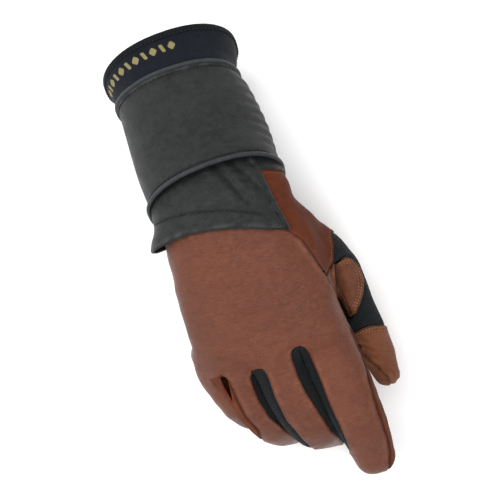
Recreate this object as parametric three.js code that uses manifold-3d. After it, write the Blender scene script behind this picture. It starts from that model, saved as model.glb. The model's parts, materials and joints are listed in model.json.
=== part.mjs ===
// A right-hand riding glove with a long forearm sleeve, standing palm down on its curled fingertips and the end
// of its sleeve. Every leather, knit and neoprene piece is a separate shell of its own thickness. The fingers
// point to -Y, the arm goes in from +Y, the thumb is on +X and the back of the hand faces +Z. Millimetres.
import * as THREE from "three";
import { mergeVertices } from "three/addons/utils/BufferGeometryUtils.js";
import Module from "manifold-3d";

const wasm = await Module();
wasm.setup();

// ---- driving dimensions -------------------------------------------------------------------------------------
const LEATHER = 1.3; // thickness of the glove leather
const KNIT = 1.2; // thickness of the stretch knit
const NEOPRENE = 2.6; // thickness of the sleeve foam
const SEAM_GAP = 0.35; // room left between two neighbouring pieces
const LAYER_GAP = 1.3; // room left between two layers that lie on each other
const CURVE_STEPS = 5; // facets along one piece of a digit

// The wrist joint: the middle of the sleeve's lower edge, and the way the forearm lies from there.
const WRIST = new THREE.Vector3(-7, 39, 76);
const FOREARM_DROP = 25.6; // degrees below level
const SLEEVE_LENGTH = 99;
// The floor under the middle of the finished glove, which becomes the origin.
const FLOOR_CENTRE = new THREE.Vector3(4.02, -4.365, -1.1);

// Each digit: its pivot on the hand, the way it points, the side its palm faces, the bend at its middle joint,
// the lengths from the pivot to that joint and from there to the fingertip's centre, and the half width and half
// height at each end.
const DIGITS = {
  index: {
    pivot: [22, -66, 66], along: [1.8, -33, -5.2], palm: [0.24, 0, -0.97], bend: 17,
    lengths: [36, 44], widths: [14.6, 12.8], heights: [13, 11.6],
  },
  middle: {
    pivot: [-11.5, -68, 63.5], along: [9, -36.5, -13.5], palm: [0.34, 0, -0.94], bend: 58,
    lengths: [47.5, 41.6], widths: [11.7, 10], heights: [12, 10.6],
  },
  ring: {
    pivot: [-34, -70, 53], along: [11.6, -28, -15.5], palm: [0.38, 0, -0.92], bend: 54,
    lengths: [41, 28.8], widths: [10.2, 9], heights: [11.2, 10],
  },
  little: {
    pivot: [-50.5, -60, 38.5], along: [9, -19, -10], palm: [0.38, 0, -0.92], bend: 50,
    lengths: [32, 17.5], widths: [8.6, 7.6], heights: [9.6, 8.6],
  },
  thumb: {
    pivot: [42, -34, 44], along: [14, -62, -14.5], palm: [-0.6, 0, -0.8], bend: 4,
    lengths: [31, 34], widths: [13.2, 10.6], heights: [12.6, 10.6],
  },
};
const BEND_RADIUS = 15; // of the centreline at a digit's middle joint
const PIVOT_GAP = 3.4; // from a digit's pivot to where its shell starts
const ROOT_SETBACK = 3.4; // from the pivot back to the hand's end, at mid height
const ROOT_SLANT = 25; // degrees that the hand's end slants back towards the palm
const THUMB_SIDE_SLOPE = -28; // degrees from square across, of the seams on the thumb's side
const KNEE_GAP = 5.2; // from the middle joint to each shell's end, at mid height
const KNEE_SLANT = 3; // how much further the palm's side of that end is cut away

// The hand's sections, from inside the sleeve to the roots of the fingers: the centre, the half width and half
// height, the roll that drops the little finger's side, and the pitch of the section's normal below level.
const HAND = [
  { centre: [-6.9, 46.2, 72.6], half: [36, 23.2], roll: 0, pitch: -25.6 },
  { centre: [-7.1, 38, 75.9], half: [36.4, 23.2], roll: 0, pitch: -20 },
  { centre: [-8.5, 24, 78.3], half: [38, 23.8], roll: 0, pitch: -8 },
  { centre: [-9, 8, 78], half: [40, 23.8], roll: 0, pitch: 2 },
  { centre: [-6.5, -10, 75], half: [43, 22.5], roll: 5, pitch: 8 },
  { centre: [-7, -30, 71], half: [44.5, 20], roll: 10, pitch: 14 },
  { centre: [-8, -48, 65.5], half: [46, 17], roll: 16, pitch: 18 },
  { centre: [-8.5, -66, 59.5], half: [47, 14.6], roll: 21, pitch: 20 },
];
const HAND_SQUARENESS = 2.5; // exponent of the superellipse that a section of the hand is
// The ball of the thumb, from the heel of the hand to the thumb's root.
const THENAR = [
  { centre: [10, 14, 66], half: [19, 19], roll: 0, pitch: 0 },
  { centre: [24, -4, 58.5], half: [19, 18.5], roll: 0, pitch: 10 },
  { centre: [35, -18, 50.5], half: [17, 16.5], roll: 0, pitch: 14 },
  { centre: [40.5, -29.5, 45.5], half: [14.4, 13.8], roll: 0, pitch: 14 },
];

const degrees = THREE.MathUtils.degToRad;
const mix = THREE.MathUtils.lerp;
const vector = (list) => new THREE.Vector3(...list);

// ---- making closed solids -----------------------------------------------------------------------------------

// A shell piece between outer(u, v) and inner(u, v), with u and v from 0 to 1. A ring closes on itself along v.
function shellPiece(outer, inner, stepsU, stepsV, ring = false) {
  const points = [];
  const columns = ring ? stepsV : stepsV + 1;
  for (const surface of [outer, inner])
    for (let i = 0; i <= stepsU; i++)
      for (let j = 0; j < columns; j++) points.push(surface(i / stepsU, j / stepsV));
  const layer = (stepsU + 1) * columns;
  const at = (i, j, side) => side * layer + i * columns + (j % columns);
  const faces = [];
  const quad = (a, b, c, d) => faces.push(a, b, c, a, c, d);
  for (let i = 0; i < stepsU; i++)
    for (let j = 0; j < stepsV; j++) {
      quad(at(i, j, 0), at(i + 1, j, 0), at(i + 1, j + 1, 0), at(i, j + 1, 0));
      quad(at(i, j, 1), at(i, j + 1, 1), at(i + 1, j + 1, 1), at(i + 1, j, 1));
    }
  for (let j = 0; j < stepsV; j++) {
    quad(at(0, j, 0), at(0, j + 1, 0), at(0, j + 1, 1), at(0, j, 1));
    quad(at(stepsU, j, 0), at(stepsU, j, 1), at(stepsU, j + 1, 1), at(stepsU, j + 1, 0));
  }
  if (!ring)
    for (let i = 0; i < stepsU; i++) {
      quad(at(i, 0, 0), at(i, 0, 1), at(i + 1, 0, 1), at(i + 1, 0, 0));
      quad(at(i, stepsV, 0), at(i + 1, stepsV, 0), at(i + 1, stepsV, 1), at(i, stepsV, 1));
    }
  return facingOut(new THREE.BufferGeometry().setFromPoints(points).setIndex(faces));
}

// Turns a closed geometry's faces round if they point inwards.
function facingOut(geometry) {
  const at = geometry.getAttribute("position");
  const index = geometry.getIndex().array;
  const [a, b, c] = [new THREE.Vector3(), new THREE.Vector3(), new THREE.Vector3()];
  let volume = 0;
  for (let i = 0; i < index.length; i += 3) {
    a.fromBufferAttribute(at, index[i]);
    b.fromBufferAttribute(at, index[i + 1]);
    c.fromBufferAttribute(at, index[i + 2]);
    volume += a.dot(b.cross(c));
  }
  if (volume < 0) for (let i = 0; i < index.length; i += 3) [index[i], index[i + 1]] = [index[i + 1], index[i]];
  return geometry;
}

// A manifold-3d solid of a closed geometry, for joining and cutting.
function toSolid(geometry) {
  const bare = geometry.clone();
  bare.deleteAttribute("normal");
  bare.deleteAttribute("uv");
  const merged = mergeVertices(bare, 1e-4);
  return new wasm.Manifold(new wasm.Mesh({
    numProp: 3,
    vertProperties: new Float32Array(merged.getAttribute("position").array),
    triVerts: new Uint32Array(merged.getIndex().array),
  }));
}

// The largest body of a solid, as a geometry.
function toGeometry(solid) {
  const body = solid.decompose().sort((one, other) => other.volume() - one.volume())[0];
  const mesh = body.getMesh();
  const geometry = new THREE.BufferGeometry();
  geometry.setAttribute("position", new THREE.BufferAttribute(new Float32Array(mesh.vertProperties), 3));
  geometry.setIndex(new THREE.BufferAttribute(new Uint32Array(mesh.triVerts), 1));
  return geometry;
}

// ---- digits -------------------------------------------------------------------------------------------------

// A finger or thumb: a straight stretch, a bend in one plane, a straight stretch and a domed tip.
class Digit {
  constructor({ pivot, along, palm, bend, lengths, widths, heights }) {
    this.pivot = vector(pivot);
    this.forward = vector(along).normalize();
    this.palmar = vector(palm).addScaledVector(this.forward, -vector(palm).dot(this.forward)).normalize();
    this.lateral = this.forward.clone().cross(this.palmar).normalize();
    this.bend = degrees(bend);
    this.widths = widths;
    this.heights = heights;
    const corner = BEND_RADIUS * Math.tan(this.bend / 2);
    this.bendStart = lengths[0] - corner;
    this.bendEnd = this.bendStart + BEND_RADIUS * this.bend;
    this.knee = (this.bendStart + this.bendEnd) / 2;
    this.length = this.bendEnd + lengths[1] - corner;
    this.dome = widths[1];
  }

  // The centreline's point, its direction and the way the back of the digit faces, at a distance from the pivot.
  frame(distance) {
    const turned = THREE.MathUtils.clamp((distance - this.bendStart) / BEND_RADIUS, 0, this.bend);
    const direction = (angle) =>
      this.forward.clone().multiplyScalar(Math.cos(angle)).addScaledVector(this.palmar, Math.sin(angle));
    const dorsal = (angle) =>
      this.forward.clone().multiplyScalar(Math.sin(angle)).addScaledVector(this.palmar, -Math.cos(angle));
    const point = this.pivot.clone().addScaledVector(this.forward, Math.min(distance, this.bendStart));
    if (distance > this.bendStart) {
      point.addScaledVector(this.palmar, BEND_RADIUS).addScaledVector(dorsal(turned), BEND_RADIUS);
      point.addScaledVector(direction(turned), Math.max(distance - this.bendEnd, 0));
    }
    return { point, direction: direction(turned), dorsal: dorsal(turned) };
  }

  // A point of the surface, or of one offset from it, at an angle from the digit's +lateral side over its back.
  surface(distance, angle, offset) {
    const straight = Math.min(distance, this.length);
    const { point, direction, dorsal } = this.frame(straight);
    const past = Math.min((distance - straight) / this.dome, 0.99);
    const shrink = Math.sqrt(1 - past * past);
    const share = straight / this.length;
    const width = (mix(this.widths[0], this.widths[1], share) + offset) * shrink;
    const height = (mix(this.heights[0], this.heights[1], share) + offset) * shrink;
    return point
      .addScaledVector(this.lateral, width * Math.cos(angle))
      .addScaledVector(dorsal, height * Math.sin(angle))
      .addScaledVector(direction, (this.dome + offset) * past);
  }
}

// One piece of a digit's shell, between two distances and two angles in degrees, which may differ at its far
// end. Its ends at the middle joint slant, so that the palm's side has room to close when the digit bends.
function digitPiece(digit, part, angles, farAngles = angles, thickness = LEATHER, steps = 4) {
  const tip = digit.length + digit.dome;
  const [from, to] = part === "proximal" ? [PIVOT_GAP, digit.knee - KNEE_GAP] : [digit.knee + KNEE_GAP, tip];
  const surface = (offset) => (u, v) => {
    const clear = degrees(90) * (SEAM_GAP / 2 / (digit.widths[1] * 1.5));
    const near = mix(degrees(angles[0]) + clear, degrees(angles[1]) - clear, v);
    const far = mix(degrees(farAngles[0]) + clear, degrees(farAngles[1]) - clear, v);
    const angle = mix(near, far, u);
    const slant = -KNEE_SLANT * Math.sin(angle);
    const start = part === "proximal" ? from : from + slant;
    const end = part === "proximal" ? to - slant : to;
    return digit.surface(mix(start, end, part === "proximal" ? u : Math.sin(u * Math.PI * 0.5) ** 0.9), angle, offset);
  };
  return shellPiece(surface(0), surface(-thickness), part === "proximal" ? CURVE_STEPS : 9, steps);
}

// ---- lofted tubes -------------------------------------------------------------------------------------------

// A tube through a list of sections, each a superellipse in a plane of its own.
class Tube {
  constructor(sections, squareness) {
    this.sections = sections;
    this.power = 2 / squareness;
  }

  section(share) {
    const place = share * (this.sections.length - 1);
    const first = Math.min(Math.floor(place), this.sections.length - 2);
    const [one, two] = [this.sections[first], this.sections[first + 1]];
    const part = place - first;
    const pitch = degrees(mix(one.pitch, two.pitch, part));
    const roll = degrees(mix(one.roll, two.roll, part));
    const centre = vector(one.centre).lerp(vector(two.centre), part);
    const up = new THREE.Vector3(0, -Math.sin(pitch), Math.cos(pitch));
    const axis = new THREE.Vector3(0, -Math.cos(pitch), -Math.sin(pitch));
    const side = new THREE.Vector3(1, 0, 0).applyAxisAngle(axis, -roll);
    up.applyAxisAngle(axis, -roll);
    return { centre, side, up, axis, half: [0, 1].map((k) => mix(one.half[k], two.half[k], part)) };
  }

  surface(share, angle, offset) {
    const { centre, side, up, half } = this.section(share);
    const squared = (value) => Math.sign(value) * Math.abs(value) ** this.power;
    return centre
      .addScaledVector(side, (half[0] + offset) * squared(Math.cos(angle)))
      .addScaledVector(up, (half[1] + offset) * squared(Math.sin(angle)));
  }

  // The whole tube as a closed block, reaching past its two ends where the block is there to cut them open.
  block(offset, past, around = 32) {
    const shares = [0, ...this.sections.map((_, k) => k / (this.sections.length - 1)), 1];
    const rings = shares.map((share, k) => {
      const reach = k === 0 ? -past : k === shares.length - 1 ? past : 0;
      const axis = this.section(share).axis;
      return Array.from({ length: around }, (_, j) =>
        this.surface(share, (j / around) * 2 * Math.PI, offset).addScaledVector(axis, reach));
    });
    if (!past) rings.splice(-1, 1), rings.splice(0, 1);
    return toSolid(cappedLoft(rings));
  }

  // A wedge between two angles, which may differ at each section, out to a reach past the surface.
  sector(angles, reach, past = 2) {
    const shares = this.sections.map((_, k) => k / (this.sections.length - 1));
    const rings = shares.map((share, k) => {
      const { centre, axis } = this.section(share);
      const shift = k === 0 ? -past : k === shares.length - 1 ? past : 0;
      const [from, to] = angles(k).map(degrees);
      const steps = 8;
      const rim = Array.from({ length: steps + 1 }, (_, j) =>
        this.surface(share, mix(from, to, j / steps), reach).addScaledVector(axis, shift));
      return [centre.addScaledVector(axis, shift), ...rim];
    });
    return toSolid(cappedLoft(rings));
  }
}

// A closed loft through rings of equal length, with a fan at each end.
function cappedLoft(rings) {
  const around = rings[0].length;
  const points = rings.flat();
  const faces = [];
  for (let i = 0; i < rings.length - 1; i++)
    for (let j = 0; j < around; j++) {
      const [a, b] = [i * around + j, i * around + ((j + 1) % around)];
      faces.push(a, b, b + around, a, b + around, a + around);
    }
  const last = (rings.length - 1) * around;
  for (let j = 1; j < around - 1; j++) faces.push(0, j + 1, j, last, last + j, last + j + 1);
  return facingOut(new THREE.BufferGeometry().setFromPoints(points).setIndex(faces));
}

// ---- the sleeve ---------------------------------------------------------------------------------------------

const SLEEVE_AXIS = new THREE.Vector3(0.013, Math.cos(degrees(FOREARM_DROP)), -Math.sin(degrees(FOREARM_DROP)));
const SLEEVE_UP = new THREE.Vector3(0, Math.sin(degrees(FOREARM_DROP)), Math.cos(degrees(FOREARM_DROP)));
const SLEEVE_SIDE = new THREE.Vector3(1, 0, 0);
// Half width and half height of the sleeve's outside, at distances from the wrist along the forearm.
const SLEEVE_SIZES = [
  { at: -4, half: [43, 33.2] },
  { at: 30, half: [42, 33] },
  { at: 80, half: [40.5, 34.5] },
  { at: 99, half: [43.5, 38.9] },
];

function sleeveSurface(distance, angle, offset) {
  const next = Math.max(1, SLEEVE_SIZES.findIndex(({ at }) => at >= distance));
  const [one, two] = [SLEEVE_SIZES[next - 1], SLEEVE_SIZES[next]];
  const share = (distance - one.at) / (two.at - one.at);
  const squared = (value) => Math.sign(value) * Math.abs(value) ** (2 / 2.2);
  return WRIST.clone()
    .addScaledVector(SLEEVE_AXIS, distance)
    .addScaledVector(SLEEVE_SIDE, (mix(one.half[0], two.half[0], share) + offset) * squared(Math.cos(angle)))
    .addScaledVector(SLEEVE_UP, (mix(one.half[1], two.half[1], share) + offset) * squared(Math.sin(angle)));
}

// A piece of the sleeve between two distances and two angles in degrees, its outside and inside as offsets.
function sleevePiece(from, to, outside, inside, angles = null, stepsU = 3) {
  const clear = angles ? SEAM_GAP / 80 : 0;
  const [start, end] = angles ? [degrees(angles[0]) + clear, degrees(angles[1]) - clear] : [0, 2 * Math.PI];
  const surface = (offset) => (u, v) => sleeveSurface(mix(from, to, u), mix(start, end, v), offset);
  return shellPiece(surface(outside), surface(inside), stepsU, angles ? 16 : 32, !angles);
}

// ---- colours and finishes -----------------------------------------------------------------------------------

const material = (color, roughness) => new THREE.MeshStandardMaterial({ color, roughness, metalness: 0 });
const MATERIALS = {
  brown: material(0x7a4a36, 0.55), // leather of the back, the fingers and the thumb side
  tan: material(0x96603c, 0.6), // leather of the palm, the web and the thumb's cap
  black: material(0x363836, 0.55), // leather of the sleeve and the wrist
  piping: material(0x45494c, 0.5),
  knit: material(0x1d2228, 0.9),
  navy: material(0x1f2730, 0.85),
};

const glove = new THREE.Group();

function add(name, finish, geometry) {
  const mesh = new THREE.Mesh(geometry.translate(-FLOOR_CENTRE.x, -FLOOR_CENTRE.y, -FLOOR_CENTRE.z), MATERIALS[finish]);
  mesh.name = name;
  glove.add(mesh);
}

// ---- sleeve pieces ------------------------------------------------------------------------------------------

const LEATHER_END = 79; // where the sleeve's leather stops and its upper piping starts
const PIPING = 3.2; // width of a piping
const BINDING = 3.5; // width of the binding round the sleeve's mouth
const DORSAL = [-12, 192]; // angles that the sleeve's leather back covers

add("sleeve_leather_back", "black", sleevePiece(0, LEATHER_END, 0, -LEATHER, DORSAL));
add("sleeve_stretch_panel", "knit", sleevePiece(0, LEATHER_END, -0.2, -KNIT - 0.2, [DORSAL[1], 360 + DORSAL[0]]));
add("lower_piping", "piping", sleevePiece(-SEAM_GAP - PIPING, -SEAM_GAP, 0.8, -LEATHER - 0.2, null, 1));
add("upper_piping", "piping",
  sleevePiece(LEATHER_END + SEAM_GAP, LEATHER_END + SEAM_GAP + PIPING, 0.8, -LEATHER - 0.1, null, 1));
add("neoprene_sleeve", "navy",
  sleevePiece(17, SLEEVE_LENGTH - BINDING - SEAM_GAP, -LEATHER - LAYER_GAP, -LEATHER - LAYER_GAP - NEOPRENE, null, 6));
add("hem_binding", "navy",
  sleevePiece(SLEEVE_LENGTH - BINDING, SLEEVE_LENGTH, -0.9, -LEATHER - LAYER_GAP - NEOPRENE - 0.8, null, 1));

// ---- hand pieces --------------------------------------------------------------------------------------------

const hand = new Tube(HAND, HAND_SQUARENESS);
const thenar = new Tube(THENAR, 2);
const digits = Object.fromEntries(Object.entries(DIGITS).map(([name, sizes]) => [name, new Digit(sizes)]));
const ROOM = 4; // how far a cutting block runs past an open end
const HAND_REACH = [9, 9, 12, 25, 45, 45, 30, 20]; // how far past each section the cutting wedges go

// The block that clears a digit's root: all that lies ahead of a slanted plane behind its pivot.
function rootBlock(digit) {
  const box = new THREE.BoxGeometry(2 * digit.widths[0] + 7, 60, 2 * digit.heights[0] + 14);
  box.translate(0, 30 - ROOT_SETBACK, 0);
  box.rotateX(-degrees(ROOT_SLANT));
  const basis = new THREE.Matrix4().makeBasis(
    digit.lateral, digit.forward, digit.palmar.clone().negate()).setPosition(digit.pivot);
  return toSolid(facingOut(box.applyMatrix4(basis)));
}

let handShell = hand.block(0, 0).add(thenar.block(0, 0))
  .subtract(hand.block(-LEATHER, ROOM))
  .subtract(thenar.block(-LEATHER, ROOM));
for (const digit of Object.values(digits)) handShell = handShell.subtract(rootBlock(digit));

// The wedge of a hand piece: two angles at every section of the hand, from the thumb's side over its back.
const THUMB_SEAM = [62, 60, 57, 52, 40, 24, 12, 8];
const LITTLE_SEAM = 192;
const PALM_EDGE = [-40, -40, -40, -42, -46, -48, -30, -24];
const SEAM_CLEARANCE = 0.8; // degrees left between a wedge and the piece beside it
function handWedge(from, to, grow = 0) {
  const loops = HAND.map((_, k) => {
    const share = k / (HAND.length - 1);
    const { centre, axis } = hand.section(share);
    const shift = k === 0 ? -2 : k === HAND.length - 1 ? 2 : 0;
    const [start, end] = [(from[k] ?? from) - grow, (to[k] ?? to) + grow].map(degrees);
    const rim = Array.from({ length: 11 }, (_, j) =>
      hand.surface(share, mix(start, end, j / 10), HAND_REACH[k]).addScaledVector(axis, shift));
    return [centre.addScaledVector(axis, shift), ...rim];
  });
  return toSolid(cappedLoft(loops));
}

// A slab across the hand between two lengths along -Y, for cutting the thumb's side into its pieces.
function acrossSlab(from, to) {
  const box = new THREE.BoxGeometry(240, to - from, 200);
  box.translate(0, -(from + to) / 2, 60);
  box.rotateZ(degrees(THUMB_SIDE_SLOPE));
  return toSolid(box);
}

const sideWedge = handWedge(PALM_EDGE, THUMB_SEAM);
const offSide = handShell.subtract(handWedge(PALM_EDGE, THUMB_SEAM, SEAM_CLEARANCE));
const thumbSide = handShell.intersect(sideWedge);
add("back_panel", "brown", toGeometry(offSide.intersect(handWedge(0, LITTLE_SEAM))));
add("palm_panel", "tan", toGeometry(offSide.subtract(handWedge(0, LITTLE_SEAM, SEAM_CLEARANCE))));
add("thumb_gusset", "brown", toGeometry(thumbSide.intersect(acrossSlab(-80, 0))));
add("thumb_base_knit", "knit", toGeometry(thumbSide.intersect(acrossSlab(SEAM_GAP, 20))));
add("web_patch", "tan", toGeometry(thumbSide.intersect(acrossSlab(20 + SEAM_GAP, 120))));

// The black wrist panel lies on the back of the hand, from inside the sleeve to its stitched hem.
const panelShare = (u) => mix(0, 3.05 / 7, u);
const wristPanel = (offset) => (u, v) => {
  const angle = degrees(mix(40, 196, v));
  const slope = 0.03 * Math.cos(angle) * u; // the hem slants down towards the thumb
  return hand.surface(panelShare(u) + slope, angle, offset);
};
add("wrist_panel", "black", shellPiece(wristPanel(LAYER_GAP + LEATHER), wristPanel(LAYER_GAP), 6, 14));

// The tan patch on the palm is a second layer over the heel and the middle of the palm.
const palmPatch = (offset) => (u, v) => hand.surface(mix(3.2, 6.4, u) / 7, degrees(mix(206, 268, v)), offset);
const patchBlock = toSolid(shellPiece(palmPatch(LAYER_GAP + LEATHER), palmPatch(LAYER_GAP), 5, 8));
add("palm_patch", "tan", toGeometry(patchBlock.subtract(thenar.block(SEAM_GAP, 0))));

// ---- digit pieces -------------------------------------------------------------------------------------------

// The angles of each piece of a finger's shell at its root and at its far end, in degrees from the thumb's side
// over the back. A finger with a neighbour has a side wall there; one with none has its back or palm leather.
const FINGER_PIECES = {
  index: { back: [50, 135], palm: [225, 410], wall_little_side: [135, 225] },
  middle: { back: [45, 135], palm: [225, 315], wall_little_side: [135, 225], wall_thumb_side: [-45, 45] },
  ring: { back: [45, 135], palm: [225, 315], wall_little_side: [135, 225], wall_thumb_side: [-45, 45] },
  little: { back: [45, 200], palm: [200, 315], wall_thumb_side: [-45, 45] },
};
const TAPER = 26; // degrees that each edge of a side wall closes in by at the fingertip
const finish = (finger, piece) => {
  if (piece === "palm") return "tan";
  if (piece === "back" || finger === "little") return "brown";
  return finger === "ring" && piece === "wall_little_side" ? "brown" : "knit";
};

// The far-end angles of a piece: side walls narrow towards the fingertip, and the leather beside them widens.
function tapered(piece, [from, to], pieces) {
  if (piece.startsWith("wall")) return [from + TAPER, to - TAPER];
  const meets = (edge) => Object.entries(pieces).some(([name, [start, end]]) =>
    name.startsWith("wall") && [start, end].some((angle) => (angle - edge) % 360 === 0));
  return [meets(from) ? from - TAPER : from, meets(to) ? to + TAPER : to];
}

for (const [finger, pieces] of Object.entries(FINGER_PIECES))
  for (const [piece, angles] of Object.entries(pieces)) {
    const thickness = finish(finger, piece) === "knit" ? KNIT : LEATHER;
    const far = tapered(piece, angles, pieces);
    const steps = Math.max(3, Math.round((angles[1] - angles[0]) / 28));
    add(`${finger}_${piece}_root`, finish(finger, piece),
      digitPiece(digits[finger], "proximal", angles, angles, thickness, steps));
    add(`${finger}_${piece}_tip`, finish(finger, piece),
      digitPiece(digits[finger], "distal", angles, far, thickness, steps));
  }

// The thumb: knit over its back, leather inside, and a leather cap in two halves over its end.
add("thumb_knit_back", "knit", digitPiece(digits.thumb, "proximal", [-60, 130], [-60, 130], KNIT, 6));
add("thumb_inner_leather", "tan", digitPiece(digits.thumb, "proximal", [130, 300], [130, 300], LEATHER, 6));
add("thumb_cap", "tan", digitPiece(digits.thumb, "distal", [-60, 130], [-60, 130], LEATHER, 6));
add("thumb_cap_inner_side", "tan", digitPiece(digits.thumb, "distal", [130, 300], [130, 300], LEATHER, 6));

export default glove;
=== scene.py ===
"""Right-hand riding glove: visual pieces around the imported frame. Lengths are millimetres until an object is made."""
import json
import math
import bpy
import numpy as np
from mathutils import Matrix, Vector
from mathutils.kdtree import KDTree


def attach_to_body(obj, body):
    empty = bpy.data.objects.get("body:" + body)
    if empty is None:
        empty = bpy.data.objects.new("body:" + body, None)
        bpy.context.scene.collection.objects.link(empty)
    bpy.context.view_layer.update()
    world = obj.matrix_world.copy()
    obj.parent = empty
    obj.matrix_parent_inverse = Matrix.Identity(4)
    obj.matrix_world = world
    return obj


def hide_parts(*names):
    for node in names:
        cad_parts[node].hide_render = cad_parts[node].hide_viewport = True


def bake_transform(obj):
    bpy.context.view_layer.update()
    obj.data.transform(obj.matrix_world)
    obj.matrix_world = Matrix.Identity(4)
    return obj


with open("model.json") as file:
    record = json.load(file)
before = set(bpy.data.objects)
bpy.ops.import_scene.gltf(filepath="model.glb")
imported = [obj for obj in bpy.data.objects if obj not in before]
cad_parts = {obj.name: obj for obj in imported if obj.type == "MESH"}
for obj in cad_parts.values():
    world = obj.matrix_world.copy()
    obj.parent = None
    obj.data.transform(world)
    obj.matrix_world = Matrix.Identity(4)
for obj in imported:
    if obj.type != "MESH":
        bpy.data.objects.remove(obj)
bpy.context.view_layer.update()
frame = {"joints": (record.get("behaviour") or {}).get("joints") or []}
MM = 0.001
FAR = 99.0  # the "seam" value of a point with no seam near it


def vec(*v):
    return np.array(v, float)


def unit(v):
    v = np.asarray(v, float)
    return v / np.maximum(np.linalg.norm(v, axis=-1, keepdims=True), 1e-9)


def smooth_min(a, b, k):
    h = np.clip(0.5 + 0.5 * (b - a) / k, 0, 1)
    return b + (a - b) * h - k * h * (1 - h)


def smooth_max(a, b, k):
    return -smooth_min(-a, -b, k)


def bell(x, width):
    return np.exp(-(x / width) ** 2)


def run(path):
    """The distance along a path at each of its points."""
    return np.concatenate([[0], np.cumsum(np.linalg.norm(np.diff(path, axis=0), axis=1))])


def over_ellipse(at, sizes, power, soft):
    """About how far points lie outside a rounded shape, from their coordinates and its half sizes."""
    k0 = sum(np.abs(v / size) ** power for v, size in zip(at, sizes)) ** (1 / power) + 1e-6
    slope = k0 ** (1 - power) * np.sqrt(sum((np.abs(v) ** (power - 1) / size ** power) ** 2
                                            for v, size in zip(at, sizes)))
    return (k0 - 1) / np.maximum(slope, soft / np.maximum(sizes[0], sizes[1]))


def catmull(rows, per):
    """A smooth dense table through the rows of a table."""
    rows = np.asarray(rows, float)
    ends = np.vstack([2 * rows[0] - rows[1], rows, 2 * rows[-1] - rows[-2]])
    out = []
    for i in range(1, len(ends) - 2):
        p0, p1, p2, p3 = ends[i - 1:i + 3]
        for t in np.arange(per) / per:
            out.append(0.5 * (2 * p1 + (p2 - p0) * t + (2 * p0 - 5 * p1 + 4 * p2 - p3) * t ** 2
                              + (3 * p1 - p0 - 3 * p2 + p3) * t ** 3))
    out.append(rows[-1])
    return np.array(out)


# ---- the hand's and the digits' shapes ----
# y, centre x, centre z, half width, half height, roll in degrees, from the wrist to the fingers' roots
HAND = catmull([
    (58, -10.6, 69.5, 38.5, 27, 0), (46, -10.2, 76, 40, 27, 0), (30, -9.8, 79.8, 40.6, 26, 0),
    (17, -10, 80, 41.8, 25.2, 1), (5, -9.4, 78.8, 43.6, 24, 3), (-11, -10.3, 76.2, 45, 22.2, 6),
    (-27, -10.8, 72.2, 45.8, 20, 10), (-43, -11.6, 67.4, 46.4, 17.4, 15), (-59, -12.6, 62.4, 46.4, 14.8, 20),
    (-70, -13.5, 58.5, 45, 12.5, 22)], 8)
HAND_POWER = 2.45
HAND_END = -66  # where the hand's field is closed, among the fingers' roots
DIGIT_POWER = 2.3
TIP_LENGTH = 0.96  # the length of a digit's rounded end, as a share of its half width
# x, y, z, half width, half height along each digit
DIGITS = {
    "index": [(18.6, -50, 67.5, 16, 13.2), (19.8, -62, 67, 17, 13.4), (20.6, -80, 64, 17.2, 13.2),
              (22.3, -100, 60.2, 16.6, 12.8), (24.2, -119, 53, 15.2, 12.2), (25.2, -136.5, 43, 12.6, 11)],
    "middle": [(-12.6, -50, 67, 13.2, 12), (-11.6, -62, 65.6, 14.6, 12.6), (-10.2, -80, 60.5, 15.6, 12.6),
               (-6.8, -97, 53.4, 15.6, 12.4), (-2.4, -109, 44, 14.2, 11.8), (2.2, -112.8, 33, 12, 11),
               (7, -114.4, 22, 11, 10.6), (10.6, -115.4, 11, 10.3, 10.3)],
    "ring": [(-38, -50, 59, 11, 11), (-37.6, -62, 56.6, 12, 11.8), (-35.4, -78, 51, 11.8, 11.6),
             (-31.4, -90.4, 44, 11.2, 11), (-26.2, -99.8, 35, 10.7, 10.6), (-21.6, -103.6, 25, 10.2, 10.2),
             (-18.4, -105, 15, 9.7, 9.7), (-17, -105.5, 10.2, 9.5, 9.5)],
    "little": [(-49.6, -46, 49, 9.2, 10), (-49.2, -56, 46, 9.6, 10.2), (-46.9, -68, 40.5, 9.6, 10),
               (-43.8, -78.4, 33.5, 9.3, 9.6), (-39.6, -85.8, 25, 9, 9.2), (-35.8, -88.6, 15.4, 8.6, 8.7),
               (-33.8, -89.4, 9.4, 8.3, 8.5)],
    "thumb": [(36, -22, 49.5, 15.2, 14.4), (42.4, -34, 46, 14, 13.6), (44, -48, 42.4, 12.9, 12.6),
              (46.6, -64, 38.6, 11.9, 11.6), (48.8, -78, 34.6, 10.5, 10.4), (50.2, -93.6, 30.2, 7.2, 8.2)],
}
THENAR = [(3, 26, 73, 14, 16), (13, 13, 69.5, 16, 18.5), (23.4, 1.5, 63, 17, 18.5), (33, -11, 54.5, 17, 17),
          (38.5, -22, 48.6, 15.4, 14.8)]
# x, y, height and reach of the soft bumps and hollows over the knuckles
KNUCKLES = [(16, -49, 1.0, 10), (-10, -54, 1.3, 10), (-33, -54, 0.9, 8), (-47, -45, 0.6, 7), (3, -50, -0.5, 7),
            (-23, -57, -0.6, 6), (4, -8, 0.7, 16), (-30, -16, 0.5, 14)]
# how softly shapes run into each other, in millimetres
THENAR_BLEND, THUMB_BLEND, ROOT_BLEND, WEB_BLEND = 13, 9, 7, 7
# the slit between neighbouring fingers: its least width, and how much wider it gets beyond a Y towards the tips
SLIT, SLIT_MORE, SLIT_MORE_FROM = 0.03, 1.1, -82
PART = {j["name"]: j for j in frame["joints"]}


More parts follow.
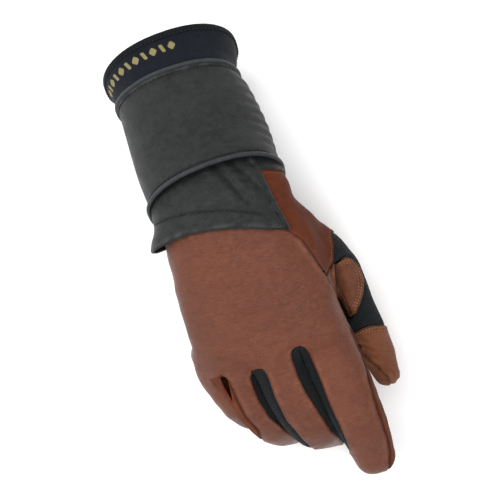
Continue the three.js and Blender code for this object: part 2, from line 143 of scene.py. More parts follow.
class Limb:
    """A tube with elliptical sections along a smooth centreline."""

    def __init__(self, rows, lateral):
        t = catmull(rows, 4)
        self.c, self.w, self.h = t[:, :3], t[:, 3], t[:, 4]
        self.d = unit(np.gradient(self.c, axis=0))
        lat = np.tile(unit(lateral), (len(t), 1))
        self.lat = unit(lat - self.d * np.sum(lat * self.d, 1, keepdims=True))
        self.dor = np.cross(self.d, self.lat)
        self.s = run(self.c)

    def local(self, P):
        """Each point's lateral, dorsal and overshoot coordinates, its distance along, and the section's sizes."""
        best = np.full(len(P), 1e18)
        seg = np.zeros(len(P), int)
        tt = np.zeros(len(P))
        for i in range(len(self.c) - 1):
            e = self.c[i + 1] - self.c[i]
            t = np.clip((P - self.c[i]) @ e / (e @ e), 0, 1)
            q = self.c[i] + t[:, None] * e
            r = np.sum((P - q) ** 2, 1)
            m = r < best
            best[m], seg[m], tt[m] = r[m], i, t[m]
        mixed = lambda a: (a[seg].T * (1 - tt) + a[seg + 1].T * tt).T
        c, lat, dor, d = mixed(self.c), unit(mixed(self.lat)), unit(mixed(self.dor)), unit(mixed(self.d))
        o = P - c
        return (np.sum(o * lat, 1), np.sum(o * dor, 1), np.sum(o * d, 1), mixed(self.s), mixed(self.w), mixed(self.h))

    def height(self, P):
        """Each point's height in the tube's section, and the section's half height."""
        local = self.local(P)
        return local[1], local[5]

    def field(self, P):
        """About how far each point lies outside the tube."""
        a, b, c, _, w, h = self.local(P)
        return over_ellipse((a, b, c), (w, h, TIP_LENGTH * w), DIGIT_POWER, 0.25)


LIMBS = {n: Limb(rows, PART[n + "_base"]["axis"]) for n, rows in DIGITS.items()}
THENAR_LIMB = Limb(THENAR, PART["thumb_base"]["axis"])
FINGERS = ["index", "middle", "ring", "little"]


def hand_local(P):
    """Each point's place in the hand's section, across and up, and the section's half sizes."""
    y = -P[:, 1]
    cx, cz, A, B, roll = [np.interp(y, -HAND[:, 0], HAND[:, k]) for k in range(1, 6)]
    r = np.radians(roll)
    dx, dz = P[:, 0] - cx, P[:, 2] - cz
    return dx * np.cos(r) + dz * np.sin(r), -dx * np.sin(r) + dz * np.cos(r), A, B


def height_in_hand(P):
    """Each point's height in the hand's section, and the section's half height."""
    _, b, _, B = hand_local(P)
    return b, B


def hand_field(P):
    """About how far each point lies outside the hand, without its digits."""
    a, b, A, B = hand_local(P)
    f = over_ellipse((a, b), (A, B), HAND_POWER, 0.4)
    for x, y, lift, reach in KNUCKLES:
        f -= lift * np.exp(-((P[:, 0] - x) ** 2 + (P[:, 1] - y) ** 2) / reach ** 2)
    return smooth_max(f, HAND_END - P[:, 1], 10)


def root_field(P):
    """The hand with the ball of the thumb and the thumb."""
    f = hand_field(P)
    near = P[:, 0] > -30
    Q = P[near]
    f[near] = smooth_min(smooth_min(f[near], THENAR_LIMB.field(Q), THENAR_BLEND), LIMBS["thumb"].field(Q), THUMB_BLEND)
    return f


# the small open triangle between the ring and little fingers, and the height above which it is open
EYELET = [(-47.0, -60.6), (-43.2, -62.4), (-43.6, -68), (-44.8, -76.5), (-46.4, -67)]
EYELET_FLOOR = 49
# the Y of the top of the gap between two fingers
WEB_TOPS = {("index", "middle"): -61.5, ("middle", "ring"): -65.5, ("ring", "little"): -63.5}


def joined(P, root, names, fields):
    """Neighbouring digits, smooth above the top of the gap between them and creased below it."""
    f = fields[names[0]]
    for a, b in zip(names, names[1:]):
        k = WEB_BLEND * np.clip((P[:, 1] - WEB_TOPS[(a, b)] + 1) / 4, 0, 1) + 0.01
        f = smooth_min(f, fields[b], k)
    return smooth_min(root, f, ROOT_BLEND)


def finger_field(name):
    """The field of one finger joined to the hand and kept clear of its neighbours."""
    i = FINGERS.index(name)
    names = FINGERS[max(0, i - 1):i + 2]

    def field(P):
        fields = {n: LIMBS[n].field(P) for n in names}
        b, h = LIMBS[name].height(P)
        depth = b / h - 0.12  # 0 along the line where the fingers touch
        gap = SLIT + (SLIT_MORE * np.clip((np.abs(depth) - 0.12) / 0.5, 0, 1)
                      * np.clip((SLIT_MORE_FROM - P[:, 1]) / 10, 0, 1))
        f = joined(P, root_field(P), names, fields)
        for n in names:
            if n != name:
                top = WEB_TOPS.get((name, n)) or WEB_TOPS[(n, name)]
                open_part = 60 * np.clip((P[:, 1] - top) / 3, 0, 1)
                f = smooth_max(f, gap - (fields[n] - fields[name]) / 2 - open_part, 0.5)
        if name in ("ring", "little"):
            f = smooth_max(f, np.minimum(inside(P, EYELET) + 0.2, P[:, 2] - EYELET_FLOOR), 0.9)
        return f
    return field


def whole_field(P):
    """The hand with all its digits."""
    return joined(P, root_field(P), FINGERS, {n: LIMBS[n].field(P) for n in FINGERS})


# ---- meshing ----

def lattice_mesh(field, low, high, step):
    """Surface nets over a box, with the points then moved onto the field's own surface."""
    low, high = np.asarray(low, float), np.asarray(high, float)
    n = np.ceil((high - low) / step).astype(int) + 1
    skip = 4  # every fourth lattice point is enough far from the surface
    coarse_axes = [low[d] + step * np.arange(0, n[d] + skip, skip) for d in range(3)]
    coarse = np.stack(np.meshgrid(*coarse_axes, indexing="ij"), -1)
    C = field(coarse.reshape(-1, 3)).reshape(coarse.shape[:3])
    near = [np.round(np.arange(n[d]) / skip).astype(int) for d in range(3)]
    F = C[np.ix_(*near)]
    todo = np.argwhere(np.abs(F) < 1.5 * skip * step)
    F[tuple(todo.T)] = field(low + step * todo)
    F[np.abs(F) < 1e-7] = 1e-7
    corner = [(i, j, k) for i in (0, 1) for j in (0, 1) for k in (0, 1)]
    C = np.stack([F[i:n[0] - 1 + i, j:n[1] - 1 + j, k:n[2] - 1 + k] for i, j, k in corner], -1)
    below = (C < 0).sum(-1)
    cells = np.argwhere((below > 0) & (below < 8))
    ids = -np.ones(n - 1, int)
    ids[tuple(cells.T)] = np.arange(len(cells))
    G = C[tuple(cells.T)]
    total, count = np.zeros((len(cells), 3)), np.zeros(len(cells))
    for a in range(8):
        for b in range(a + 1, 8):
            if sum(x != y for x, y in zip(corner[a], corner[b])) != 1:
                continue
            m = (G[:, a] < 0) != (G[:, b] < 0)
            t = G[m, a] / (G[m, a] - G[m, b])
            total[m] += np.array(corner[a]) + t[:, None] * (np.array(corner[b]) - np.array(corner[a]))
            count[m] += 1
    V = low + step * (cells + total / count[:, None])
    quads = []
    for d in range(3):
        u, v = (d + 1) % 3, (d + 2) % 3
        sl = [slice(None)] * 3
        sh = [slice(None)] * 3
        sl[d], sh[d] = slice(0, -1), slice(1, None)
        A, B = F[tuple(sl)] < 0, F[tuple(sh)] < 0
        for flip, m in ((False, A & ~B), (True, ~A & B)):
            p = np.argwhere(m)
            p = p[(p[:, u] > 0) & (p[:, v] > 0) & (p[:, u] < n[u] - 1) & (p[:, v] < n[v] - 1)]
            eu, ev = np.eye(3, dtype=int)[u], np.eye(3, dtype=int)[v]
            q = np.stack([ids[tuple((p - e).T)] for e in (eu + ev, ev, 0 * ev, eu)], 1)
            quads.append(q[:, ::-1] if flip else q)
    Q = np.vstack(quads)
    Q = Q[(Q >= 0).all(1)]
    for _ in range(2):
        f = field(V)
        g = np.stack([(field(V + e) - f) / 0.05 for e in np.eye(3) * 0.05], 1)
        step_v = -(f / np.maximum(np.sum(g * g, 1), 0.3))[:, None] * g
        size = np.linalg.norm(step_v, axis=1, keepdims=True)
        V = V + step_v * np.minimum(1, 0.6 * step / np.maximum(size, 1e-9))
    T = np.vstack([Q[:, [0, 1, 2]], Q[:, [0, 2, 3]]])
    return {"V": V, "T": T, "seam": np.full(len(V), FAR)}


def compact(m, T):
    """A mesh with only these triangles and the points that they use."""
    used = np.unique(T)
    back = -np.ones(len(m["V"]), int)
    back[used] = np.arange(len(used))
    out = {k: v[used] for k, v in m.items() if k != "T"}
    out["T"] = back[T]
    return out


def cut(m, g, seam=True):
    """Splits a mesh along g = 0. Returns its positive part, its negative part and the cut's segments.

    With seam, the cut counts as a seam, and "seam" then holds each point's distance to the nearest one."""
    g = np.where(np.abs(g) < 1e-3, 1e-3, g)
    s = g > 0
    T = m["T"]
    k = s[T].sum(1)
    mixed = T[(k == 1) | (k == 2)]
    sm = s[mixed]
    lone = np.where(sm.sum(1) == 1, sm.argmax(1), (~sm).argmax(1))
    rows = np.arange(len(mixed))
    i0, i1, i2 = mixed[rows, lone], mixed[rows, (lone + 1) % 3], mixed[rows, (lone + 2) % 3]
    edges = np.sort(np.vstack([np.stack([i0, i1], 1), np.stack([i0, i2], 1)]), axis=1)
    if len(edges):
        uniq, inv = np.unique(edges, axis=0, return_inverse=True)
        inv = inv.reshape(-1)
    else:
        uniq, inv = np.zeros((0, 2), int), np.zeros(0, int)
    t = g[uniq[:, 0]] / (g[uniq[:, 0]] - g[uniq[:, 1]])
    out = {}
    for key, v in m.items():
        if key == "T":
            continue
        a, b = v[uniq[:, 0]], v[uniq[:, 1]]
        w = t.reshape((-1,) + (1,) * (v.ndim - 1))
        out[key] = np.concatenate([v, a + (b - a) * w])
    if seam:
        gg = np.concatenate([np.abs(g), np.zeros(len(uniq))])
        out["seam"] = np.minimum(out["seam"], gg)
    base = len(m["V"])
    e1, e2 = base + inv[:len(mixed)], base + inv[len(mixed):]
    small = np.stack([i0, e1, e2], 1)
    big = np.vstack([np.stack([e1, i1, i2], 1), np.stack([e1, i2, e2], 1)])
    lone_pos = s[i0]
    pos = np.vstack([T[k == 3], small[lone_pos], big[np.tile(~lone_pos, 2)]])
    neg = np.vstack([T[k == 0], small[~lone_pos], big[np.tile(lone_pos, 2)]])
    segments = (out["V"][e1], out["V"][e2])
    return compact(out, pos), compact(out, neg), segments


def vertex_normals(m):
    V, T = m["V"], m["T"]
    n = np.cross(V[T[:, 1]] - V[T[:, 0]], V[T[:, 2]] - V[T[:, 0]])
    N = np.zeros_like(V)
    for k in range(3):
        np.add.at(N, T[:, k], n)
    return unit(N)


# ---- making objects ----

def make_object(name, V, faces, material, normals=None, attributes=None, smooth=True):
    """A Blender mesh object from millimetre points."""
    mesh = bpy.data.meshes.new(name)
    mesh.from_pydata((np.asarray(V) * MM).tolist(), [], np.asarray(faces).tolist(), shade_flat=not smooth)
    for key, data in (attributes or {}).items():
        attribute = mesh.attributes.new(key, "FLOAT", "POINT")
        attribute.data.foreach_set("value", np.asarray(data, np.float32))
    mesh.validate()
    if normals is not None and len(mesh.vertices) == len(V):
        mesh.normals_split_custom_set_from_vertices([tuple(n) for n in normals])
    mesh.materials.append(material)
    o = bpy.data.objects.new(name, mesh)
    bpy.context.scene.collection.objects.link(o)
    return o


def merge(parts):
    """Joins pairs of points and faces, with faces of equal size."""
    starts = np.cumsum([0] + [len(v) for v, _ in parts])
    return np.vstack([v for v, _ in parts]), np.vstack([f + n for (_, f), n in zip(parts, starts)])


def grid_faces(rows, cols, ring=False):
    i, j = np.meshgrid(np.arange(rows - 1), np.arange(cols if ring else cols - 1), indexing="ij")
    k = (j + 1) % cols
    return np.stack([i * cols + j, i * cols + k, (i + 1) * cols + k, (i + 1) * cols + j], -1).reshape(-1, 4)


def sample(values, d, s):
    """Three-part values known at distances d, read off at distances s."""
    return np.stack([np.interp(s, d, values[:, k]) for k in range(3)], -1)


def resample(path, pitch):
    """A path with evenly spaced points."""
    d = run(path)
    return sample(path, d, np.linspace(0, d[-1], max(2, int(round(d[-1] / pitch))) + 1))


STITCH_RINGS, STITCH_SIDES = 6, 6


def stitch_row(path, normals, length, gap, radius, lift):
    """Thread stitches along a path: short rounded bars that dip at both ends."""
    d = run(path)
    parts = []
    around = circle(1.0, STITCH_SIDES, 0.8)
    u = np.abs(np.linspace(-1, 1, STITCH_RINGS)) ** 3
    for i in range(int(d[-1] / (length + gap))):
        s = np.linspace(0, length, STITCH_RINGS) + i * (length + gap) + gap / 2
        p, n = sample(path, d, s), unit(sample(normals, d, s))
        b = np.cross(unit(np.gradient(p, axis=0)), n)
        r = radius * np.sqrt(np.clip(1 - u, 0.12, 1))
        c = p + n * (lift - 0.45 * u)[:, None]
        ring = c[:, None] + r[:, None, None] * (around[:, :1] * b[:, None] + around[:, 1:] * n[:, None])
        parts.append((ring.reshape(-1, 3), grid_faces(STITCH_RINGS, STITCH_SIDES, True)))
    return merge(parts)


def swept(path, normals, profile, closed=False):
    """A solid strip: a profile of (across, up) points carried along a path."""
    t = unit((np.roll(path, -1, 0) - np.roll(path, 1, 0)) if closed else np.gradient(path, axis=0))
    side_way = unit(np.cross(t, unit(normals)))
    up = np.cross(side_way, t)
    prof = np.asarray(profile, float)
    P = path[:, None] + prof[None, :, 0, None] * side_way[:, None] + prof[None, :, 1, None] * up[:, None]
    rows, cols = P.shape[:2]
    if closed:
        P = np.concatenate([P, P[:1]])
        rows += 1
    return P.reshape(-1, 3), grid_faces(rows, cols, True)


def circle(r, n=12, squash=1.0):
    a = np.arange(n) / n * 2 * np.pi
    return np.stack([r * np.cos(a), r * squash * np.sin(a)], 1)


def chain(segments):
    """Ordered polylines from the loose segments of a cut."""
    a, b = segments
    uniq, inv = np.unique(np.round(np.vstack([a, b]), 4), axis=0, return_inverse=True)
    inv = inv.reshape(-1)
    n = len(a)
    links = {}
    for i in range(n):
        p, q = int(inv[i]), int(inv[n + i])
        if p != q:
            links.setdefault(p, []).append(q)
            links.setdefault(q, []).append(p)
    seen, out = set(), []
    for p in [p for p in links if len(links[p]) == 1] + list(links):
        line = []
        while p is not None and p not in seen:
            seen.add(p)
            line.append(p)
            p = next((q for q in links[p] if q not in seen), None)
        if len(line) > 3:
            out.append(uniq[line])
    return sorted(out, key=len, reverse=True)


def smooth_path(p, rounds):
    """Evens out a row of values and keeps its ends."""
    p = p.copy()
    for _ in range(rounds):
        p[1:-1] = (p[:-2] + 2 * p[1:-1] + p[2:]) / 4
    return p


# ---- borders and seams, seen from above ----

def over_y(P, pts, before=None, after=None):
    """How far each point lies to +X of a border that runs along Y."""
    pts = np.asarray(sorted(pts, key=lambda p: p[1]), float)
    x = np.interp(P[:, 1], pts[:, 1], pts[:, 0], left=before, right=after)
    return P[:, 0] - x


def over_x(P, pts):
    """How far each point lies to +Y of a border that runs along X."""
    pts = np.asarray(sorted(pts), float)
    return P[:, 1] - np.interp(P[:, 0], pts[:, 0], pts[:, 1])


def inside(P, poly):
    """Signed distance to a closed outline in X and Y, positive inside."""
    poly = np.asarray(poly, float)
    best, odd = np.full(len(P), 1e9), np.zeros(len(P), bool)
    for a, b in zip(poly, np.roll(poly, -1, 0)):
        e = b - a
        t = np.clip(((P[:, :2] - a) @ e) / (e @ e), 0, 1)
        best = np.minimum(best, np.linalg.norm(P[:, :2] - a - t[:, None] * e, axis=1))
        hit = (a[1] > P[:, 1]) != (b[1] > P[:, 1])
        x = a[0] + (P[:, 1] - a[1]) * e[0] / (e[1] if abs(e[1]) > 1e-9 else 1e-9)
        odd ^= hit & (P[:, 0] < x)
    return np.where(odd, best, -best)


# X and Y of points along each border: the knit slits and the leather walls between fingers, the seam down the index
# finger's outer side, the thumb's gusset, web patch and cap, and the wrist panel with its stitches
INDEX_LEFT = [(2.2, -59.9), (4.4, -60.4), (6.4, -62.4), (7.6, -66), (8.4, -76), (9.2, -99.8), (11, -117.1),
              (11.8, -128.1), (9, -134)]
MIDDLE_RIGHT = [(2.2, -59.9), (-0.4, -60.5), (-2.2, -62.4), (-2.9, -66), (-2.8, -76), (-1.8, -86.8), (1.9, -101.6),
                (5, -113.7), (11.6, -127)]
MIDDLE_LEFT = [(-24.6, -63.9), (-22.4, -64.6), (-20.8, -66.6), (-20.2, -70), (-20.2, -83.8), (-18.4, -98.9),
               (-12.2, -114.8), (-8, -122)]
RING_RIGHT = [(-24.6, -63.9), (-27.4, -64.8), (-29.2, -67), (-29.8, -70), (-29.8, -80.9), (-27, -93.6), (-18.8, -107.7),
              (-12, -118)]
RING_LEFT = [(-45.6, -60), (-42.5, -66), (-41.7, -77.6), (-40.4, -88), (-36, -99)]
LITTLE_RIGHT = [(-45.4, -60), (-46.6, -66.2), (-45.5, -77.6), (-44.3, -86), (-40, -99)]
RADIAL = [(32.4, -24), (32.8, -28.7), (35.4, -40.3), (36.2, -57), (35.9, -68.1), (36.9, -76.8), (36.4, -87.7),
          (35, -101.9), (34.6, -117.5), (34.6, -129.9), (33.8, -137.5), (31, -145.5), (28.1, -152)]
GUSSET_SEAM = [(14, 44), (15.5, 22), (18.4, 7), (25.4, -1.6), (29.5, -16), (31.8, -28.5)]
WEB = [(32, -28), (36, -24), (40.3, -20.6), (48.3, -18.7), (53, -21.6), (55.4, -28), (55, -35.9), (51.4, -43.5),
       (44.6, -51.5), (38.7, -56.1), (37.4, -54), (36.4, -41)]
CAP_TOP = [(30, -66.4), (38.1, -63.9), (44, -62.7), (49.9, -62.9), (58.4, -65.4), (64, -68)]
GUSSET_TOP = [(8, 47.6), (19, 44.6), (31, 41.2), (44, 38)]
HEM = [(-64, 22.6), (-57.3, 21.7), (-46, 22.6), (-35, 22.5), (-22.9, 20.4), (-11, 17.2), (-0.3, 13.4), (9, 9.8),
       (16, 7.2), (20, 6.4), (24, 6.4)]
PANEL_STITCH = [(-62, 36.2), (-55.4, 36.6), (-44.2, 36.4), (-30.7, 34.6), (-11.7, 29.2), (2.6, 22.8), (9.6, 18.8),
                (11.6, 14), (12.6, 8)]
PANEL_TACKS = [((13.6, 15.2), (19.0, 12.0)), ((13.0, 10.6), (20.2, 8.9)), ((18.2, 17.5), (19.9, 9.2))]
PANEL_RIGHT = [(15.6, 60), (16.4, 47.7), (17.3, 40.8), (18.6, 26), (20, 17), (21.6, 7.4), (22, 0)]


# ---- materials ----

def srgb(r, g, b):
    f = lambda c: c / 12.92 if c <= 0.04045 else ((c + 0.055) / 1.055) ** 2.4
    return tuple(f(x / 255) for x in (r, g, b)) + (1.0,)


class Nodes:
    """A material under construction."""

    def __init__(self, name):
        self.m = bpy.data.materials.new(name)
        self.m.use_nodes = True
        self.t = self.m.node_tree
        self.bsdf = self.t.nodes["Principled BSDF"]

    def add(self, kind, inputs=None, **props):
        """A node with its inputs set to values or linked to sockets."""
        n = self.t.nodes.new(kind)
        for k, v in props.items():
            setattr(n, k, v)
        for k, v in (inputs or {}).items():
            if isinstance(v, bpy.types.NodeSocket):
                self.t.links.new(v, n.inputs[k])
            else:
                n.inputs[k].default_value = v
        return n

    def math(self, op, a, b=0.0):
        return self.add("ShaderNodeMath", {0: a, 1: b}, operation=op).outputs[0]

    def ramp(self, value, low, high, to_low=0.0, to_high=1.0):
        return self.add("ShaderNodeMapRange", {"Value": value, "From Min": low, "From Max": high, "To Min": to_low,
                                               "To Max": to_high}).outputs[0]

    def mix(self, factor, a, b):
        return self.add("ShaderNodeMix", {0: factor, 6: a, 7: b}, data_type="RGBA").outputs[2]

    def shade(self, factor, c, of, share):
        """Darkens a colour towards a share of another."""
        return self.mix(factor, c, tuple(share * x for x in of[:3]) + (1,))

    def coords(self, scale):
        c = self.add("ShaderNodeTexCoord").outputs["Object"]
        return self.add("ShaderNodeMapping", {"Vector": c, "Scale": scale}).outputs[0]

    def noise(self, scale, detail=3.0, stretch=(1, 1, 1), rough=0.5, distort=0.0):
        return self.add("ShaderNodeTexNoise", {"Vector": self.coords(stretch), "Scale": scale, "Detail": detail,
                                               "Roughness": rough, "Distortion": distort}).outputs["Fac"]

    def cells(self, scale, stretch):
        return self.add("ShaderNodeTexVoronoi", {"Scale": scale, "Vector": self.coords(stretch)},
                        feature="DISTANCE_TO_EDGE").outputs["Distance"]

    def attribute(self, name):
        return self.add("ShaderNodeAttribute", attribute_name=name).outputs["Fac"]

    def bump(self, height, strength, distance):
        """Adds a layer of bump on top of the ones before it. The distance is in metres."""
        last = self.bsdf.inputs["Normal"].links
        n = self.add("ShaderNodeBump", {"Height": height, "Strength": strength, "Distance": distance})
        if last:
            self.t.links.new(last[0].from_socket, n.inputs["Normal"])
        self.t.links.new(n.outputs[0], self.bsdf.inputs["Normal"])

    def finish(self, colour, roughness, **fixed):
        self.t.links.new(colour, self.bsdf.inputs["Base Color"])
        self.t.links.new(roughness, self.bsdf.inputs["Roughness"])
        for k, v in fixed.items():
            self.bsdf.inputs[k.replace("_", " ")].default_value = v
        return self.m


def leather(name, base, dark, light, rough, grain, wrinkle, wear, specular, seam_shade=0.62):
    """Leather with painted shade in its seams and folds, and lighter on the worn edges beside the seams."""
    n = Nodes(name)
    base, dark, light = srgb(*base), srgb(*dark), srgb(*light)
    patches = n.noise(22, 4, rough=0.55)
    fine = n.noise(260, 3)
    creases = n.noise(95, 4, stretch=(0.32, 1.25, 1), distort=0.8)
    pores = n.cells(950 / grain, (1, 1.25, 1))
    seam = n.attribute("seam")
    c = n.mix(n.ramp(patches, 0.32, 0.7), dark, base)
    c = n.mix(n.ramp(fine, 0.35, 0.75, 0, 0.22), c, light)
    c = n.mix(n.ramp(creases, 0.56, 0.74, 0, 0.3), c, dark)
    lines = n.noise(400, 3, stretch=(0.5, 1.2, 1), distort=0.5)
    c = n.mix(n.ramp(lines, 0.5, 0.7, 0, 0.14 * wrinkle), c, dark)
    # painted shade in the seams: the colour darkens as a seam comes near
    c = n.shade(n.ramp(seam, 0.0, 1.5, seam_shade, 0.0), c, dark, 0.35)
    # painted shade in folds and along rows of stitches, as far as a piece's attribute gives it
    c = n.shade(n.attribute("groove_shade"), c, dark, 0.16)
    edge = n.math("MULTIPLY", n.ramp(seam, 0.9, 2.0), n.ramp(seam, 2.0, 4.5, 1, 0))
    c = n.mix(n.math("MULTIPLY", n.math("MULTIPLY", edge, n.ramp(n.noise(140, 3), 0.4, 0.6)), wear), c, light)
    r = n.ramp(n.noise(130, 3), 0.3, 0.7, rough - 0.07, rough + 0.1)
    n.bump(n.noise(42, 3, stretch=(0.5, 1, 1)), 0.35 * wrinkle, 0.0016)
    n.bump(creases, 0.6 * wrinkle, 0.0011)
    n.bump(lines, 0.62 * wrinkle, 0.0009)
    n.bump(n.ramp(pores, 0.0, 0.2), 0.5, 0.0004)
    n.bump(n.noise(1500, 2), 0.2, 0.0001)
    return n.finish(c, r, Specular_IOR_Level=specular)


def knit(name, base, light, pitch):
    """Ribbed knit, with painted highlight on the rib tops and painted shade at its seams. The ribs follow the "rib"
    attribute, in millimetres.
    """
    n = Nodes(name)
    base, light = srgb(*base), srgb(*light)
    wave = n.math("SINE", n.math("MULTIPLY", n.attribute("rib"), 2 * math.pi / pitch))
    high = n.ramp(wave, -1, 1)
    loops = n.noise(1500, 2)
    # painted highlight: the rib tops are lighter and the hollows between them darker
    c = n.mix(n.math("MULTIPLY", high, n.ramp(loops, 0.3, 0.7, 0.35, 1.0)), base, light)
    # painted shade at the seams
    c = n.shade(n.ramp(n.attribute("seam"), 0, 1.6, 0.6, 0), c, base, 0.3)
    r = n.ramp(n.noise(300, 2), 0.3, 0.7, 0.72, 0.95)
    n.bump(high, 0.85, 0.0005)
    n.bump(loops, 0.4, 0.00025)
    return n.finish(c, r, Specular_IOR_Level=0.12, Sheen_Weight=0.03, Sheen_Roughness=0.5)


def cloth(name, base, light, scale=1400, rough=0.85):
    n = Nodes(name)
    base, light = srgb(*base), srgb(*light)
    weave = n.noise(scale, 2, stretch=(1, 0.45, 1))
    c = n.mix(n.ramp(weave, 0.3, 0.75), base, light)
    c = n.shade(n.ramp(n.noise(60, 3), 0.35, 0.7, 0, 0.4), c, base, 0.6)
    r = n.ramp(n.noise(200, 2), 0.3, 0.7, rough - 0.08, rough + 0.05)
    n.bump(weave, 0.35, 0.00022)
    n.bump(n.noise(70, 2), 0.15, 0.001)
    return n.finish(c, r, Specular_IOR_Level=0.14, Sheen_Weight=0.04, Sheen_Roughness=0.45)


def thread(name, base, light):
    n = Nodes(name)
    base, light = srgb(*base), srgb(*light)
    twist = n.noise(1900, 2, stretch=(1, 1, 0.5))
    c = n.mix(n.ramp(twist, 0.35, 0.7), base, light)
    # painted shade at the stitch's ends, where it dips into the needle holes
    c = n.shade(n.ramp(n.attribute("hole_shade"), 0.35, 0.9), c, base, 0.12)
    n.bump(twist, 0.4, 0.00015)
    return n.finish(c, n.ramp(twist, 0.3, 0.7, 0.5, 0.7), Specular_IOR_Level=0.25)


# name, colours (middle, dark, light), roughness, grain size, strength of wrinkles, wear, shine, painted shade in the
# seams
BROWN = leather("brown_leather", (101, 53, 33), (85, 42, 26), (138, 84, 59), 0.41, 1.0, 1.0, 0.3, 0.3)
# a darker copy of the brown leather with little shine: painted shade for the thumb's gusset, the index finger's palm
# side and the walls between the ring and little fingers
BROWN_SHADED = leather("brown_leather_shaded_copy", (98, 49, 30), (80, 38, 24), (126, 73, 49), 0.6, 1.05, 0.9, 0.3, 0.05)
TAN = leather("tan_leather", (118, 66, 39), (92, 49, 29), (146, 92, 60), 0.52, 1.1, 1.2, 0.4, 0.26)
BLACK = leather("black_leather", (38, 39, 39), (27, 28, 28), (74, 75, 75), 0.47, 1.2, 0.55, 0.5, 0.16, 0.25)
PIPING = leather("piping_leather", (50, 54, 57), (36, 39, 42), (84, 89, 93), 0.46, 0.9, 0.4, 0.3, 0.25)
KNIT = knit("black_knit", (11, 13, 15), (36, 40, 43), 1.5)
STRETCH = knit("stretch_knit", (11, 12, 13), (28, 30, 33), 2.6)
NEOPRENE = cloth("navy_neoprene", (14, 18, 24), (25, 30, 38))
BINDING = cloth("binding_cloth", (10, 12, 16), (22, 25, 30), 1700)
# near-black lining cloth, which also paints the shade inside the sleeve
LINING_AND_SHADE = cloth("lining_and_shade_cloth", (9, 10, 11), (20, 21, 23), 1100, 0.9)
THREAD_BLACK = thread("black_thread", (14, 15, 15), (40, 41, 42))
THREAD_BROWN = thread("brown_thread", (112, 62, 38), (150, 94, 60))
THREAD_TAN = thread("tan_thread", (142, 82, 46), (176, 114, 70))
GOLD = thread("gold_print", (112, 103, 66), (140, 130, 88))

# ---- where pieces are split, and the pieces that follow a body ----
# the Y at which each finger's piece is split into a root part and a tip part, and at which the fingers' pieces begin
SPLIT = {"index": -80, "middle": -80, "ring": -79, "little": -70}
BASE_Y = -60.0
# how far each digit's bend reaches before and after its middle joint
BEND = {"index": (9, 9), "middle": (8, 8), "ring": (8, 8), "little": (7, 7), "thumb": (-5, 15)}


def attach(o, motion):
    """Bakes a piece's transform into its points, or, for a body's name, puts it under that body's empty. The motions
    "wrist" and a digit with "A" (base) or "B" (middle) only bake the transform.
    """
    if motion == "wrist":
        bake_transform(o)
    elif isinstance(motion, tuple):
        name, part = motion
        if part == "A" and name == "thumb":
            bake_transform(o)
        elif part == "A":
            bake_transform(o)
        else:
            limb = LIMBS[name]
            p = vec(*PART[name + "_mid"]["pos_m"]) / MM
            d = unit(limb.d[np.argmin(np.linalg.norm(limb.c - p, axis=1))])
            back, reach = BEND[name]
            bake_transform(o)
    else:
        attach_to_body(o, motion)


def open_edges(T):
    """The edges that belong to one triangle only."""
    e = np.vstack([T[:, [0, 1]], T[:, [1, 2]], T[:, [2, 0]]])
    _, first, count = np.unique(np.sort(e, 1), axis=0, return_index=True, return_counts=True)
    return e[first[count == 1]]


def skirted(m, depth):
    """Adds a strip turned inwards along every open edge, so that each piece shows a thickness."""
    V, T, N = m["V"], m["T"], m["N"]
    e = open_edges(T)
    ids = np.unique(e)
    out = {k: (v if k == "T" else np.concatenate([v, v[ids]])) for k, v in m.items()}
    out["V"][len(V):] -= depth * N[ids]
    a, b = e.T
    c, d = [len(V) + np.searchsorted(ids, x) for x in (b, a)]
    out["T"] = np.vstack([T, np.stack([a, c, b], 1), np.stack([a, d, c], 1)])
    return out


def relax(m):
    """Evens out the points a little, for smooth light. Points on an open edge stay."""
    V, T = m["V"], m["T"]
    total, count = np.zeros_like(V), np.zeros(len(V))
    for i, j in ((0, 1), (1, 2), (2, 0)):
        for here, there in ((i, j), (j, i)):
            np.add.at(total, T[:, here], V[T[:, there]])
            np.add.at(count, T[:, here], 1)
    edge = np.unique(open_edges(T))
    m["V"] = 0.5 * V + 0.5 * total / np.maximum(count, 1)[:, None]
    m["V"][edge] = V[edge]
    return m


def finish_piece(name, m, material, motion, nodes, skirt=1.0):
    """Makes one visible piece from a mesh that already has its normals. Nodes are the CAD nodes it stands for."""
    s = skirted(m, skirt)
    attributes = {k: v for k, v in s.items() if k in ("seam", "rib", "groove_shade")}
    o = make_object(name, s["V"], s["T"], material, s["N"], attributes)
    attach(o, motion)
    if nodes:
        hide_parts(*nodes)


def raised(m, height):
    """Moves each point along its normal, then brings the normals up to date."""
    m["V"] = m["V"] + m["N"] * height[:, None]
    m["N"] = vertex_normals(m)


def puff(m, lift=0.5, sink=0.55):
    """Leather swells beside its seams and turns down at the very edge."""
    raised(m, lift * bell(m["seam"], 2.4) - sink * bell(m["seam"], 0.5))


def waves(P, seed, scale):
    """A smooth sum of sines, used for soft unevenness."""
    r = np.random.default_rng(seed)
    out = np.zeros(len(P))
    for _ in range(6):
        d = unit(r.normal(size=3)) / scale * r.uniform(0.6, 1.6)
        out += np.sin(P @ d * 2 * np.pi + r.uniform(0, 6.28))
    return out / 6


def dress(m, kind, seed=1):
    """Shapes a region's mesh by its material and gives it normals."""
    m["N"] = vertex_normals(m)
    if kind == "knit":
        raised(m, -(0.15 + 0.45 * bell(m["seam"], 1.4)))
    else:
        m["V"] = m["V"] + m["N"] * (0.28 * waves(m["V"], seed, 14))[:, None]
        puff(m)


def normals_at(m, path):
    """The mesh's normals nearest to the points of a path, evened out."""
    tree = KDTree(len(m["V"]))
    for i, v in enumerate(m["V"]):
        tree.insert(v, i)
    tree.balance()
    return unit(smooth_path(m["N"][[tree.find(p)[1] for p in path]], 4))


